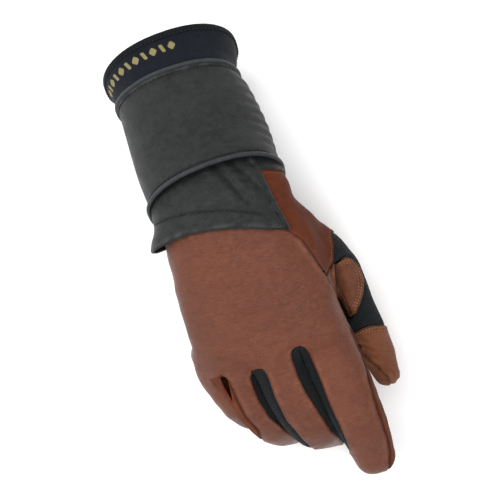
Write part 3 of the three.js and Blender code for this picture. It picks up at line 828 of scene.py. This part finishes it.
def sew(name, row, material, motion):
    """Makes an object of stitches, with an attribute that paints shade at the needle holes: 1 there, falling to 0
    between them.
    """
    V, F = row
    hole_shade = np.repeat(np.abs(np.linspace(-1, 1, STITCH_RINGS)), STITCH_SIDES)
    attach(make_object(name, V, F, material, None, {"hole_shade": np.tile(hole_shade, len(V) // len(hole_shade))}), motion)


def add_strip(name, strip, material, motion, node=None):
    """Makes a piping, a tape or a cut edge."""
    V, F = strip
    o = make_object(name, V, F, material, None, {"seam": np.full(len(V), FAR)})
    attach(o, motion)
    if node:
        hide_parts(node)


# length, gap, half thickness and height of the stitches
WIDE, COARSE, LOOSE = (2.0, 0.9, 0.32, 0.12), (1.8, 0.7, 0.36, 0.1), (1.6, 0.6, 0.28, 0.05)
NARROW, TACK, FINE = (1.5, 0.5, 0.34, 0.05), (1.5, 0.5, 0.34, 0.12), (1.4, 0.5, 0.28, 0.05)
SLEEVE_ROW, BINDING_ROW = (2.0, 0.8, 0.36, 0.1), (1.8, 0.8, 0.3, 0.1)


def stitches_on(name, m, g, material, motion, kind, least=14, keep=None):
    """Rows of stitches along g = 0 on a piece's mesh, where keep allows them. Short rows are left out."""
    _, _, segments = cut(m, g, seam=False)
    parts = []
    for line in chain(segments):
        line = resample(smooth_path(line, 4), 0.8)
        if keep:
            i = np.flatnonzero(keep(line))
            line = line[i[0]:i[-1] + 1] if len(i) > 5 else line[:1]
        if run(line)[-1] >= least:
            parts.append(stitch_row(line, normals_at(m, line), *kind))
    sew(name, merge(parts), material, motion)


STEP = 1.15  # the meshes' lattice
WHOLE_HAND = (-66, -70, 8), (66, 48, 110)
# how far below the middle of a section a border lies, in shares of its half height
PALM_LEVEL, PALM_LEVEL_AT_WRIST, THUMB_LEVEL, CAP_LEVEL, WALL_LEVEL, PANEL_LEVEL = 0.35, 0.85, 0.25, 0.3, 0.6, 0.75


# ---- the hand ----

def thumb_share(P):
    """0 on the hand and 1 on the thumb."""
    t = np.minimum(LIMBS["thumb"].field(P), THENAR_LIMB.field(P) + 2)
    return np.clip(0.5 + (hand_field(P) - t) / 8, 0, 1)


def palm_side(P):
    """Positive on the palm side of the seam around the hand and the thumb."""
    b, B = height_in_hand(P)
    w = thumb_share(P)
    thumb_b, thumb_h = LIMBS["thumb"].height(P)
    at_wrist = np.clip((P[:, 1] - 16) / 12, 0, 1) * np.clip(P[:, 0] / 12, 0, 1)
    level = PALM_LEVEL + (PALM_LEVEL_AT_WRIST - PALM_LEVEL) * at_wrist
    return (1 - w) * -(b + level * B) + w * -(thumb_b + THUMB_LEVEL * thumb_h)


def with_ribs(m, limb):
    """Sets the "rib" attribute, which knit follows, to the distance along a limb."""
    _, _, c, s, _, _ = limb.local(m["V"])
    m["rib"] = s + c
    return m


SIDE_SEAM = GUSSET_SEAM[:-1] + RADIAL[1:]
GUSSET_PUCKERS = [(0.8, 35, 5), (-1.0, 24.5, 4.5), (0.5, 14, 4), (-0.4, 7, 3)]  # height, Y and width
WEB_ROWS = (1.3, 3.2)  # how far the rows of stitches lie inside the web patch's edge
WEB_FOLD = [(42.5, -18), (39.8, -28), (37.2, -37), (36.2, -44), (36.8, -52), (38, -60)]
KNIT_AREA = [(31.9, -27.5), (41.2, -18.8), (44.7, -9.5), (45.6, -2.6), (80, 8), (80, -90), (40, -90),
             (38.7, -56.1), (37.4, -50), (34, -38)]
hand = with_ribs(relax(lattice_mesh(whole_field, *WHOLE_HAND, STEP)), LIMBS["thumb"])
palm, hand, _ = cut(hand, palm_side(hand["V"]))
side, back, _ = cut(hand, over_y(hand["V"], SIDE_SEAM))
web, side, _ = cut(side, inside(side["V"], WEB))
on_thumb = np.minimum((thumb_share(side["V"]) - 0.5) * 16, -50 - side["V"][:, 1])
thumb_knit, gusset, _ = cut(side, np.maximum(inside(side["V"], KNIT_AREA), on_thumb))
palm_thumb, palm, _ = cut(palm, np.minimum(thumb_share(palm["V"]) * 10 - 5, -24 - palm["V"][:, 1]))


def above(m):
    """The part of a hand mesh that lies before the fingers' pieces."""
    return cut(m, m["V"][:, 1] - BASE_Y, seam=False)[0]


def above_cap(m):
    """The part of a thumb mesh that lies before the cap's seam."""
    return cut(m, over_x(m["V"], CAP_TOP))[0]


BACK_GRAIN, PALM_GRAIN = 3, 5  # seeds of the unevenness that neighbouring pieces share
dress(back, "leather", BACK_GRAIN)
lip = np.abs(over_y(back["V"], SIDE_SEAM)) + 100 * (back["V"][:, 1] < -40)
raised(back, 0.7 * bell(lip - 1.0, 1.2))
dress(gusset, "leather", 4)
gusset["V"][:, 0] += sum(h * bell(gusset["V"][:, 1] - y, width) for h, y, width in GUSSET_PUCKERS)
gusset["N"] = vertex_normals(gusset)
dress(palm, "leather", PALM_GRAIN)
web = above_cap(web)
thumb_knit = above_cap(thumb_knit)
palm_thumb = above_cap(palm_thumb)
dress(web, "leather", 6)
valley = over_y(web["V"], WEB_FOLD)
raised(web, 0.35 - 3.8 * bell(valley - 1.6, 2.6) + 1.1 * bell(valley + 1.6, 1.5)
       + 0.5 * np.sin(valley * 1.1 + web["V"][:, 1] * 0.35) * bell(valley - 6, 5))
web_edge = inside(web["V"], WEB)
# painted shade in the fold's valley and along the rows of stitches beside it
web["groove_shade"] = np.maximum(0.75 * bell(valley - 1.4, 1.9),
                           0.6 * np.max([bell(web_edge - d, 0.7) for d in WEB_ROWS], axis=0) * (valley > 1))
dress(thumb_knit, "knit")
dress(palm_thumb, "leather", 7)
finish_piece("back_leather", above(back), BROWN, "wrist", ["back_panel"])
finish_piece("thumb_gusset_leather", above(gusset), BROWN_SHADED, "wrist", ["thumb_gusset"])
finish_piece("palm_leather", above(palm), TAN, "wrist", ["palm_panel"])
finish_piece("thumb_web_patch", web, TAN, ("thumb", "A"), ["web_patch"])
finish_piece("thumb_knit", thumb_knit, KNIT, ("thumb", "A"), ["thumb_base_knit", "thumb_knit_back"])
finish_piece("thumb_palm_leather", palm_thumb, TAN, ("thumb", "A"), ["thumb_inner_leather"])
for i, d in enumerate(WEB_ROWS):
    stitches_on(f"web_stitches_{i}", web, inside(web["V"], WEB) - d, THREAD_TAN, ("thumb", "A"), NARROW,
                keep=lambda p: over_y(p, WEB_FOLD) > 1.5)
stitches_on("gusset_stitches", gusset, inside(gusset["V"], KNIT_AREA) + 1.6, THREAD_BROWN, "wrist", FINE)
stitches_on("gusset_top_stitches", gusset, over_x(gusset["V"], GUSSET_TOP) + 2.2, THREAD_BROWN, "wrist", LOOSE, 8)
BAND_LIFT = 0.9  # how far the black band above the gusset lies off the hand
band = lattice_mesh(lambda P: whole_field(P) - BAND_LIFT, (8, 30, 40), (44, 64, 112), STEP)
b, B = height_in_hand(band["V"])
band = cut(band, np.minimum(over_x(band["V"], GUSSET_TOP), b + CAP_LEVEL * B))[0]
dress(band, "leather", 8)
finish_piece("gusset_top_band", band, BLACK, "wrist", [], skirt=1.2)

# ---- fingers ----
# the walls between the ring and little fingers take the darker copy of the brown leather, as painted shade
WALLS = {
    "index": [("wall_little_side", lambda P: -over_y(P, INDEX_LEFT, before=-60), KNIT)],
    "middle": [("wall_thumb_side", lambda P: over_y(P, MIDDLE_RIGHT, before=60), KNIT),
               ("wall_little_side", lambda P: -over_y(P, MIDDLE_LEFT, before=-60, after=-60), KNIT)],
    "ring": [("wall_thumb_side", lambda P: over_y(P, RING_RIGHT, before=60, after=60), KNIT),
             ("wall_little_side", lambda P: -over_y(P, RING_LEFT), BROWN_SHADED)],
    "little": [("wall_thumb_side", lambda P: over_y(P, LITTLE_RIGHT), BROWN_SHADED)],
}


def finish_finger(name, kind, m, material):
    """Splits a finger's piece into a root part and a tip part, and makes both parts."""
    m = cut(m, BASE_Y - m["V"][:, 1], seam=False)[0]
    tip, root, _ = cut(m, SPLIT[name] - m["V"][:, 1], seam=False)
    for suffix, piece, motion in (("root", root, "A"), ("tip", tip, "B")):
        node = f"{name}_{kind}_{suffix}"
        finish_piece(f"{node}_piece", piece, material, (name, motion), [node])


for name in FINGERS:
    limb = LIMBS[name]
    low = limb.c.min(0) - limb.w.max() - 4
    high = limb.c.max(0) + limb.w.max() + 4
    high[1] = -50
    m = lattice_mesh(finger_field(name), low, high, STEP)
    others = np.min([LIMBS[n].field(m["V"]) for n in LIMBS if n != name], axis=0)
    m = cut(m, others - limb.field(m["V"]) + SLIT, seam=False)[0]
    m = with_ribs(relax(m), limb)
    for wall, border, material in WALLS[name]:
        b, h = limb.height(m["V"])
        part, m, _ = cut(m, np.minimum(border(m["V"]), b + WALL_LEVEL * h))
        if material is KNIT:
            part["rib"] = part["rib"] + 0.35 * part["V"][:, 0]
            dress(part, "knit")
        else:
            dress(part, "leather", 11)
        finish_finger(name, wall, part, material)
    b, h = limb.height(m["V"])
    g = -(b + PALM_LEVEL * h)
    if name == "index":
        g = np.maximum(g, over_y(m["V"], RADIAL))
    under, top, _ = cut(m, g)
    dress(top, "leather", BACK_GRAIN)
    finish_finger(name, "back", top, BROWN)
    dress(under, "leather", PALM_GRAIN)
    finish_finger(name, "palm", under, BROWN_SHADED if name == "index" else TAN)

# ---- the thumb's cap ----
CAP_INNER = [(34, -60), (38.2, -70), (39.4, -76.7), (43, -83), (46, -88.5), (48.6, -94), (50, -101), (50.4, -106)]
CAP_ROWS = (1.4, 3.3)  # how far the rows of stitches lie below the cap's seam
limb = LIMBS["thumb"]
cap = lattice_mesh(root_field, (30, -106, 14), (68, -52, 62), STEP)
cap = cut(cap, hand_field(cap["V"]) - limb.field(cap["V"]) + 1, seam=False)[0]
cap = with_ribs(relax(cap), limb)
cap = cut(cap, -over_x(cap["V"], CAP_TOP))[0]
b, h = limb.height(cap["V"])
inner, cap, _ = cut(cap, np.maximum(-over_y(cap["V"], CAP_INNER), -(b + CAP_LEVEL * h)))
dress(inner, "leather", 21)
dress(cap, "leather", 22)
g = -over_x(cap["V"], CAP_TOP)
slant = cap["V"][:, 1] + 0.75 * (cap["V"][:, 0] - 38)
raised(cap, (0.45 * np.sin(slant * 1.25) - 0.9 * bell(slant + 71, 1.6))
       * bell(over_y(cap["V"], CAP_INNER), 7) * np.clip((g - 3) / 3, 0, 1))
# painted shade along the cap's two rows of stitches
cap["groove_shade"] = 0.6 * np.max([bell(g - d, 0.7) for d in CAP_ROWS], axis=0)
finish_piece("thumb_cap_piece", cap, TAN, ("thumb", "B"), ["thumb_cap"])
finish_piece("thumb_cap_inner_piece", inner, TAN, ("thumb", "B"), ["thumb_cap_inner_side"])
for i, d in enumerate(CAP_ROWS):
    stitches_on(f"cap_stitches_{i}", cap, g - d, THREAD_TAN, ("thumb", "B"), NARROW)

# ---- the wrist panel ----
PANEL_LIFT = 2.3  # how far the panel lies off the hand
# the Y at which the panel, its cut edge, the painted shade in its grooves and the stitches along its edge end, under
# the sleeve
PANEL_TOP, EDGE_TOP, GROOVE_SHADE_TOP, STITCH_TOP = 59, 54, 50, 46
BACK_Z = 70  # the part of the panel above this height is on the back of the hand
# the panel's slanted folds: height, X, slope along Y, the Y it leans about, width
PANEL_FOLDS = [(1.0, -3, 0.4, 34, 3.5), (-1.3, 2, 0.4, 34, 2.6), (0.9, 6, 0.4, 34, 3.0), (-1.0, 11, 0.5, 40, 2.2)]


def panel_field(P):
    x, y = P[:, 0], P[:, 1]
    flare = 6.2 * bell(x + 62, 13) * bell(y - 22, 12)
    hemmed = 0.5 * bell(over_x(P, HEM) - 3, 6)
    creased = sum(h * bell(x - at + slope * (y - y0), width) for h, at, slope, y0, width in PANEL_FOLDS)
    return whole_field(P) - PANEL_LIFT - flare - hemmed - creased * np.clip((y - 22) / 14, 0, 1)


panel = lattice_mesh(panel_field, (-72, 0, 20), (40, 62, 114), STEP)
panel = cut(panel, over_x(panel["V"], HEM))[0]
panel, _, edge_segments = cut(panel, -over_y(panel["V"], PANEL_RIGHT))
b, B = height_in_hand(panel["V"])
panel = cut(panel, b + PANEL_LEVEL * B)[0]
panel = cut(panel, PANEL_TOP - panel["V"][:, 1], seam=False)[0]
dress(panel, "leather", 31)
rows = [over_x(panel["V"], PANEL_STITCH), -over_y(panel["V"], PANEL_RIGHT) - 2.2]
groove_shade = np.max([bell(r, 0.75) for r in rows], axis=0)
raised(panel, -0.6 * groove_shade)
# painted shade in the grooves along the rows of stitches, below a height under the sleeve
panel["groove_shade"] = 0.8 * groove_shade * (panel["V"][:, 1] < GROOVE_SHADE_TOP)
finish_piece("wrist_panel_leather", panel, BLACK, "wrist", ["wrist_panel"], skirt=1.5)
line = [p for p in chain(edge_segments) if p[:, 2].mean() > BACK_Z]
line = resample(smooth_path(max(line, key=len), 6), 1.0)
line = line[line[:, 1] < EDGE_TOP]
n = normals_at(panel, line)
add_strip("wrist_panel_cut_edge", swept(line - 0.35 * n, n, circle(0.55, 8, 1.1)), PIPING, "wrist")
for name, row in zip(("hem", "edge"), rows):
    stitches_on(f"wrist_panel_{name}_stitches", panel, row, THREAD_BLACK, "wrist", COARSE,
                keep=(lambda p: p[:, 1] < STITCH_TOP) if name == "edge" else None)
for i, (p, q) in enumerate(np.array(PANEL_TACKS)):
    along, length = unit(q - p), np.linalg.norm(q - p)
    g = (panel["V"][:, :2] - p) @ np.array([-along[1], along[0]])
    stitches_on(f"wrist_panel_tack_{i}", panel, g, THREAD_BLACK, "wrist", TACK, 3,
                keep=lambda P: (np.abs((P[:, :2] - p) @ along - length / 2) < length / 2) & (P[:, 2] > BACK_Z))

# ---- the palm patch ----
PATCH = [(-44, -6), (-46, -24), (-42, -42), (-30, -50), (-12, -52), (6, -48), (14, -38), (10, -26), (-4, -18),
         (-20, -8), (-34, 4)]
PATCH_LIFT, PATCH_ROWS = 1.5, (2.2, 4.4)  # how far it lies off the palm, and its rows of stitches inside its edge
patch = lattice_mesh(lambda P: whole_field(P) - PATCH_LIFT, (-60, -66, 20), (40, 20, 90), STEP)
patch = cut(patch, np.minimum(inside(patch["V"], PATCH), -height_in_hand(patch["V"])[0]))[0]
dress(patch, "leather", 41)
finish_piece("palm_patch_leather", patch, TAN, "hand", ["palm_patch"], skirt=1.4)
for i, d in enumerate(PATCH_ROWS):
    stitches_on(f"palm_patch_stitches_{i}", patch, inside(patch["V"], PATCH) - d, THREAD_TAN, "hand", WIDE)

# ---- the sleeve ----
WRIST = vec(-11.02, 43.365, 77.1)
DROP = math.radians(25.6)
AXIS, UP, ACROSS = vec(0.013, math.cos(DROP), -math.sin(DROP)), vec(0, math.sin(DROP), math.cos(DROP)), vec(1, 0, 0)
# distance along the sleeve from the wrist, half width, half height, shift to the side
SLEEVE = np.array([(-6, 42.6, 33.2, 0), (30, 41.3, 33, -0.5), (80, 39.8, 34.1, -0.7), (99, 43.8, 36.4, -0.5),
                   (104, 44.0, 36.8, -0.5)])
SLEEVE_POWER = 2.2
RIM = 97.9  # the distance along the sleeve at which the neoprene band ends
BAND_FROM, BAND_DEPTH, LINING_DEPTH = 64, -0.6, -3.2  # the band's start, and how deep the band and the lining lie
PUCKER = 7.5  # the distance between two puckers on the thumb side and between two ribs underneath
HEM_ROW, TOP_ROW = 2.9, 3.2  # how far the rows of stitches lie from the leather's lower and upper ends
LEATHER_TURNS = -12, 192  # the leather covers the back and the stretch panel the rest, in degrees around the sleeve
FINE_STEP = 1.4


def leather_end(turn):
    """How far along the sleeve the leather and its upper piping reach, at each angle."""
    return np.interp(np.asarray(turn, float) % 360, [0, 30, 60, 90, 130, 160, 180, 270, 360],
                     [72.6, 70.6, 71.2, 72, 73.4, 76, 77.6, 76.4, 72.6])


def sleeve_point(s, turn, offset=0.0):
    """A point of the sleeve from the distance along it, the angle around it in degrees and the height above it."""
    s, turn, offset = np.broadcast_arrays(np.asarray(s, float), np.asarray(turn, float), np.asarray(offset, float))
    A, B = [np.interp(s, SLEEVE[:, 0], SLEEVE[:, k]) + offset for k in (1, 2)]
    c, d = np.cos(np.radians(turn)), np.sin(np.radians(turn))
    r = (np.abs(c) ** SLEEVE_POWER + np.abs(d) ** SLEEVE_POWER) ** (-1 / SLEEVE_POWER)
    shift = np.interp(s, SLEEVE[:, 0], SLEEVE[:, 3])
    return WRIST + s[..., None] * AXIS + (shift + A * r * c)[..., None] * ACROSS + (B * r * d)[..., None] * UP


def sleeve_path(s, turns, offset):
    """Points around the sleeve and the directions away from it."""
    p = sleeve_point(s, turns, offset)
    return p, unit(sleeve_point(s, turns, offset + 1) - p)


def grid_piece(P, ring=False):
    """A mesh with triangles from a grid of points, facing away from its middle."""
    rows, cols = P.shape[:2]
    F = grid_faces(rows, cols, ring)
    T = np.vstack([F[:, [0, 1, 2]], F[:, [0, 2, 3]]])
    m = {"V": P.reshape(-1, 3), "T": T, "seam": np.full(rows * cols, FAR)}
    m["N"] = vertex_normals(m)
    if np.mean(np.sum((m["V"] - m["V"].mean(0)) * m["N"], 1)) < 0:
        turn_over(m)
    return m


def turn_over(m):
    """Makes a mesh face the other way."""
    m["T"] = m["T"][:, ::-1]
    m["N"] = -m["N"]


def tuck(s, turn):
    """The sleeve's lower edge hugs the wrist at both sides, and its upper end hugs the band on the thumb side."""
    thumb_side = bell(1 - np.cos(np.radians(turn)), 0.22)
    return -1.6 * np.clip(1 - np.sin(np.radians(turn)), 0, 1) ** 2 * bell(s, 16) - 2.4 * thumb_side * bell(s - 74, 10)


def stitch_grooves(s, turn):
    """Where the sleeve's leather sinks along its two rows of stitches, from 0 to 1."""
    return bell(s - HEM_ROW, 0.9) + bell(s - leather_end(turn) + TOP_ROW, 0.9)


def folds(s, turn):
    """How far the sleeve's leather lies off its plain shape."""
    pucker = bell((turn - 2) / 26, 1.0) * (1.4 * np.abs(np.sin(np.pi * (s - 4) / PUCKER)) - 0.5
                                           + 1.2 * bell(s - 36, 16) - 1.6 * bell(s - 72, 9))
    soft = 0.5 * np.sin(s / 9.0 + turn / 23.0) * bell((turn - 60) / 60, 1) + 0.35 * np.sin(s / 17.0 - turn / 14.0)
    hold = np.clip(np.minimum(s, leather_end(turn) - s) / 8, 0.15, 1)
    return (pucker + soft) * hold + tuck(s, turn)


def below_piping(first, last):
    """Distances and angles of a grid between two angles, from the sleeve's lower end to its upper piping."""
    share, turn = np.meshgrid(np.linspace(0, 1, int(78 / FINE_STEP)), np.arange(first, last + 0.01, FINE_STEP * 1.3),
                              indexing="ij")
    return -1 + share * (leather_end(turn) + 1), turn


first, last = LEATHER_TURNS
s, turn = below_piping(first, last)
sleeve = grid_piece(sleeve_point(s, turn, folds(s, turn) - 0.4 * stitch_grooves(s, turn)))
sleeve["seam"] = np.minimum(np.minimum(s + 1, leather_end(turn) - s),
                            np.minimum(turn - first, last - turn) * 0.65).ravel()
puff(sleeve, 0.3, 0.3)
# painted shade in the hollows between the puckers on the thumb side, and along the two rows of stitches
sleeve["groove_shade"] = (bell((turn - 2) / 30, 1) * (0.5 - 0.4 * np.abs(np.sin(np.pi * (s - 4) / PUCKER)))
                    + 0.5 * stitch_grooves(s, turn)).ravel()
finish_piece("sleeve_leather", sleeve, BLACK, "cuff", ["sleeve_leather_back"], skirt=1.4)
first, last = last, first + 360
s, turn = below_piping(first, last)
from_side = np.minimum(turn - first, last - turn)
sleeve = grid_piece(sleeve_point(s, turn, 0.9 * np.sin(2 * np.pi * s / PUCKER) * np.clip(from_side / 12, 0, 1) - 0.7))
sleeve["rib"] = s.ravel()
sleeve["seam"] = (from_side * 0.65).ravel()
finish_piece("sleeve_stretch", sleeve, STRETCH, "cuff", ["sleeve_stretch_panel"], skirt=1.2)

CORD = 1.3  # the piping's radius
ring_turns = np.linspace(0, 360, 181)[:-1]
p, n = sleeve_path(leather_end(ring_turns) + 0.3, ring_turns, 0.2 + tuck(leather_end(ring_turns) + 0.3, ring_turns))
add_strip("upper_piping_cord", swept(p, n, circle(CORD), closed=True), PIPING, "cuff", "upper_piping")
arc = np.linspace(-14, 194, 140)
p, n = sleeve_path(-0.6, arc, 1.2 + tuck(-0.6, arc))
add_strip("lower_piping_cord", swept(p, n, circle(CORD)), PIPING, "cuff", "lower_piping")
arc = np.linspace(-10, 190, 260)
for name, s0 in (("sleeve_top_stitches", leather_end(arc) - TOP_ROW), ("sleeve_low_stitches", HEM_ROW + 0 * arc)):
    p, n = sleeve_path(s0, arc, folds(s0, arc) + 0.12)
    sew(name, stitch_row(p, n, *SLEEVE_ROW), THREAD_BLACK, "cuff")


def band_lift(turn):
    """The height of the neoprene band's surface."""
    return BAND_DEPTH + 0.35 * np.sin(turn / 19.0)


s, turn = np.meshgrid(np.concatenate([np.arange(BAND_FROM, RIM - 2, 1.6), [RIM - 2]]), ring_turns, indexing="ij")
band = grid_piece(sleeve_point(s, turn, band_lift(turn) + tuck(s, turn)), ring=True)
finish_piece("neoprene_band", band, NEOPRENE, "cuff", ["neoprene_sleeve"], skirt=0.1)
# the sleeve's lining, near black: it also stands in for the shade inside the sleeve and under its lower piping, and its
# mouth rises to fill that dark gap
lining_rows = np.concatenate([[0.6, 1.6, 2.8, 4, 5.5, 7, 9], np.arange(12, RIM - 1, 3.0)])
s, turn = np.meshgrid(lining_rows, ring_turns, indexing="ij")
mouth = 2.3 * bell(s - 0.6, 1.4) - 4.5 * bell(s - 5.5, 4) * np.sqrt(np.clip(np.sin(np.radians(turn)), 0, 1))
depth = LINING_DEPTH + 0.3 * np.sin(turn / 11.0 + s / 9) + mouth + tuck(s, turn)
lining_and_shade = grid_piece(sleeve_point(s, turn, depth), ring=True)
turn_over(lining_and_shade)
finish_piece("sleeve_lining_and_shade", lining_and_shade, LINING_AND_SHADE, "cuff", [], skirt=0.1)
BINDING_PROFILE = [(2.4, -1.9), (2.7, -0.5), (2.5, 1.5), (2.0, 1.95), (0.6, 2.0), (-1.2, 1.8), (-2.1, 0.9),
                   (-2.3, -0.6), (-1.7, -1.7), (-0.4, -2.1)]
p, n = sleeve_path(RIM - 1.9, ring_turns, -1.7)
add_strip("hem_binding_tape", swept(p, n, BINDING_PROFILE, closed=True), BINDING, "cuff", "hem_binding")
p, n = sleeve_path(RIM - 3.5, np.linspace(0, 359, 400), 0.3)
sew("hem_binding_stitches", stitch_row(p, n, *BINDING_ROW), THREAD_BLACK, "cuff")

# a generic printed border of lozenges and slanted bars on the band
# half width in degrees, half height, corner power (1.3 for a lozenge, 6 for a bar) and slant in degrees
MARKS = ((3.6, 3.0, 1.3, 0.0), (1.7, 2.9, 6, 1.2))
MARK_COUNT, FIRST_TURN, TURN_PITCH, MARKS_AT = 11, 168, 8.4, 88  # in degrees, and the distance along the sleeve
SIDES = 20
a = np.arange(SIDES) / SIDES * 2 * np.pi
j = np.arange(SIDES)
after = (j + 1) % SIDES + SIDES
ring_faces = np.vstack([np.stack([j, after - SIDES, after], 1), np.stack([j, after, SIDES + j], 1),
                        np.stack([SIDES + j, after, np.full(SIDES, 2 * SIDES)], 1)])
parts = []
for i in range(MARK_COUNT):
    wide, tall, power, slant = MARKS[i % 2]
    sx, sy = [np.sign(v) * np.abs(v) ** (2 / power) for v in (np.cos(a), np.sin(a))]
    rings = []
    for size, lift in ((1, -0.2), (0.92, 0.16), (0, 0.2)):
        turn = FIRST_TURN - i * TURN_PITCH + size * wide * sx + slant * size * sy
        rings.append(sleeve_point(MARKS_AT + size * tall * sy, turn, band_lift(turn) + lift))
    parts.append((np.vstack([rings[0], rings[1], rings[2][:1]]), ring_faces))
V, F = merge(parts)
attach(make_object("band_border_print", V, F, GOLD, smooth=False), "cuff")

# ---- floor, light and camera ----

n = Nodes("floor")
c = n.mix(n.ramp(n.noise(30, 2), 0.3, 0.7, 0, 0.02), (0.93, 0.93, 0.93, 1), (0.88, 0.88, 0.88, 1))
pale = n.finish(c, n.ramp(n.noise(50, 1), 0, 1, 0.88, 0.92), Emission_Color=(1, 1, 1, 1), Emission_Strength=0.2)
FLOOR_REACH, FLOOR_Z = 9000, -0.3
corners = [(x * FLOOR_REACH, y * FLOOR_REACH, FLOOR_Z) for x, y in ((-1, -1), (1, -1), (1, 1), (-1, 1))]
floor = make_object("floor", corners, [(0, 1, 2, 3)], pale, smooth=False)

# name, place, size and power; each light faces the middle of the glove
for name, place, size, power in (("key", (-0.9, 0.7, 1.6), 1.3, 23), ("fill", (0.12, -0.9, 1.5), 0.5, 7),
                                 ("top", (-0.2, 0.1, 2.0), 1.8, 26.5)):
    light = bpy.data.lights.new(name, "AREA")
    light.shape, light.size, light.energy = "SQUARE", size, power
    o = bpy.data.objects.new(name, light)
    o.location = place
    o.rotation_mode = "QUATERNION"
    o.rotation_quaternion = (Vector((0, 0, 0.05)) - Vector(place)).to_track_quat("-Z", "Y")
    bpy.context.scene.collection.objects.link(o)
# a sky that lights softly from above and is nearly white beside the floor's far edge
world = bpy.data.worlds.new("studio")
world.use_nodes = True
sky = world.node_tree
sky.nodes["Background"].inputs["Color"].default_value = (1, 1, 1, 1)
split = sky.nodes.new("ShaderNodeSeparateXYZ")
fade = sky.nodes.new("ShaderNodeMapRange")
for socket, value in (("From Min", 0.1), ("From Max", 0.25), ("To Min", 0.95), ("To Max", 0.34)):
    fade.inputs[socket].default_value = value
sky.links.new(sky.nodes.new("ShaderNodeTexCoord").outputs["Generated"], split.inputs[0])
sky.links.new(split.outputs[2], fade.inputs[0])
sky.links.new(fade.outputs[0], sky.nodes["Background"].inputs["Strength"])
bpy.context.scene.world = world
bpy.context.scene.view_settings.view_transform = "Standard"

az, el, distance = math.radians(-20), math.radians(86), 1.3
target = vec(-4.02, 4.365, 71.1) * MM
back_way = vec(math.sin(az) * math.cos(el), -math.cos(az) * math.cos(el), math.sin(el))
right_way = vec(math.cos(az), math.sin(az), 0)
up_way = np.cross(back_way, right_way)
spot = target + back_way * distance
lens = bpy.data.cameras.new("camera")
lens.lens, lens.sensor_width, lens.clip_start, lens.clip_end = 156, 36, 0.05, 50
camera = bpy.data.objects.new("camera", lens)
camera.matrix_world = Matrix([[right_way[k], up_way[k], back_way[k], spot[k]] for k in range(3)] + [[0, 0, 0, 1]])
bpy.context.scene.collection.objects.link(camera)
bpy.context.scene.camera = camera

bpy.context.view_layer.update()
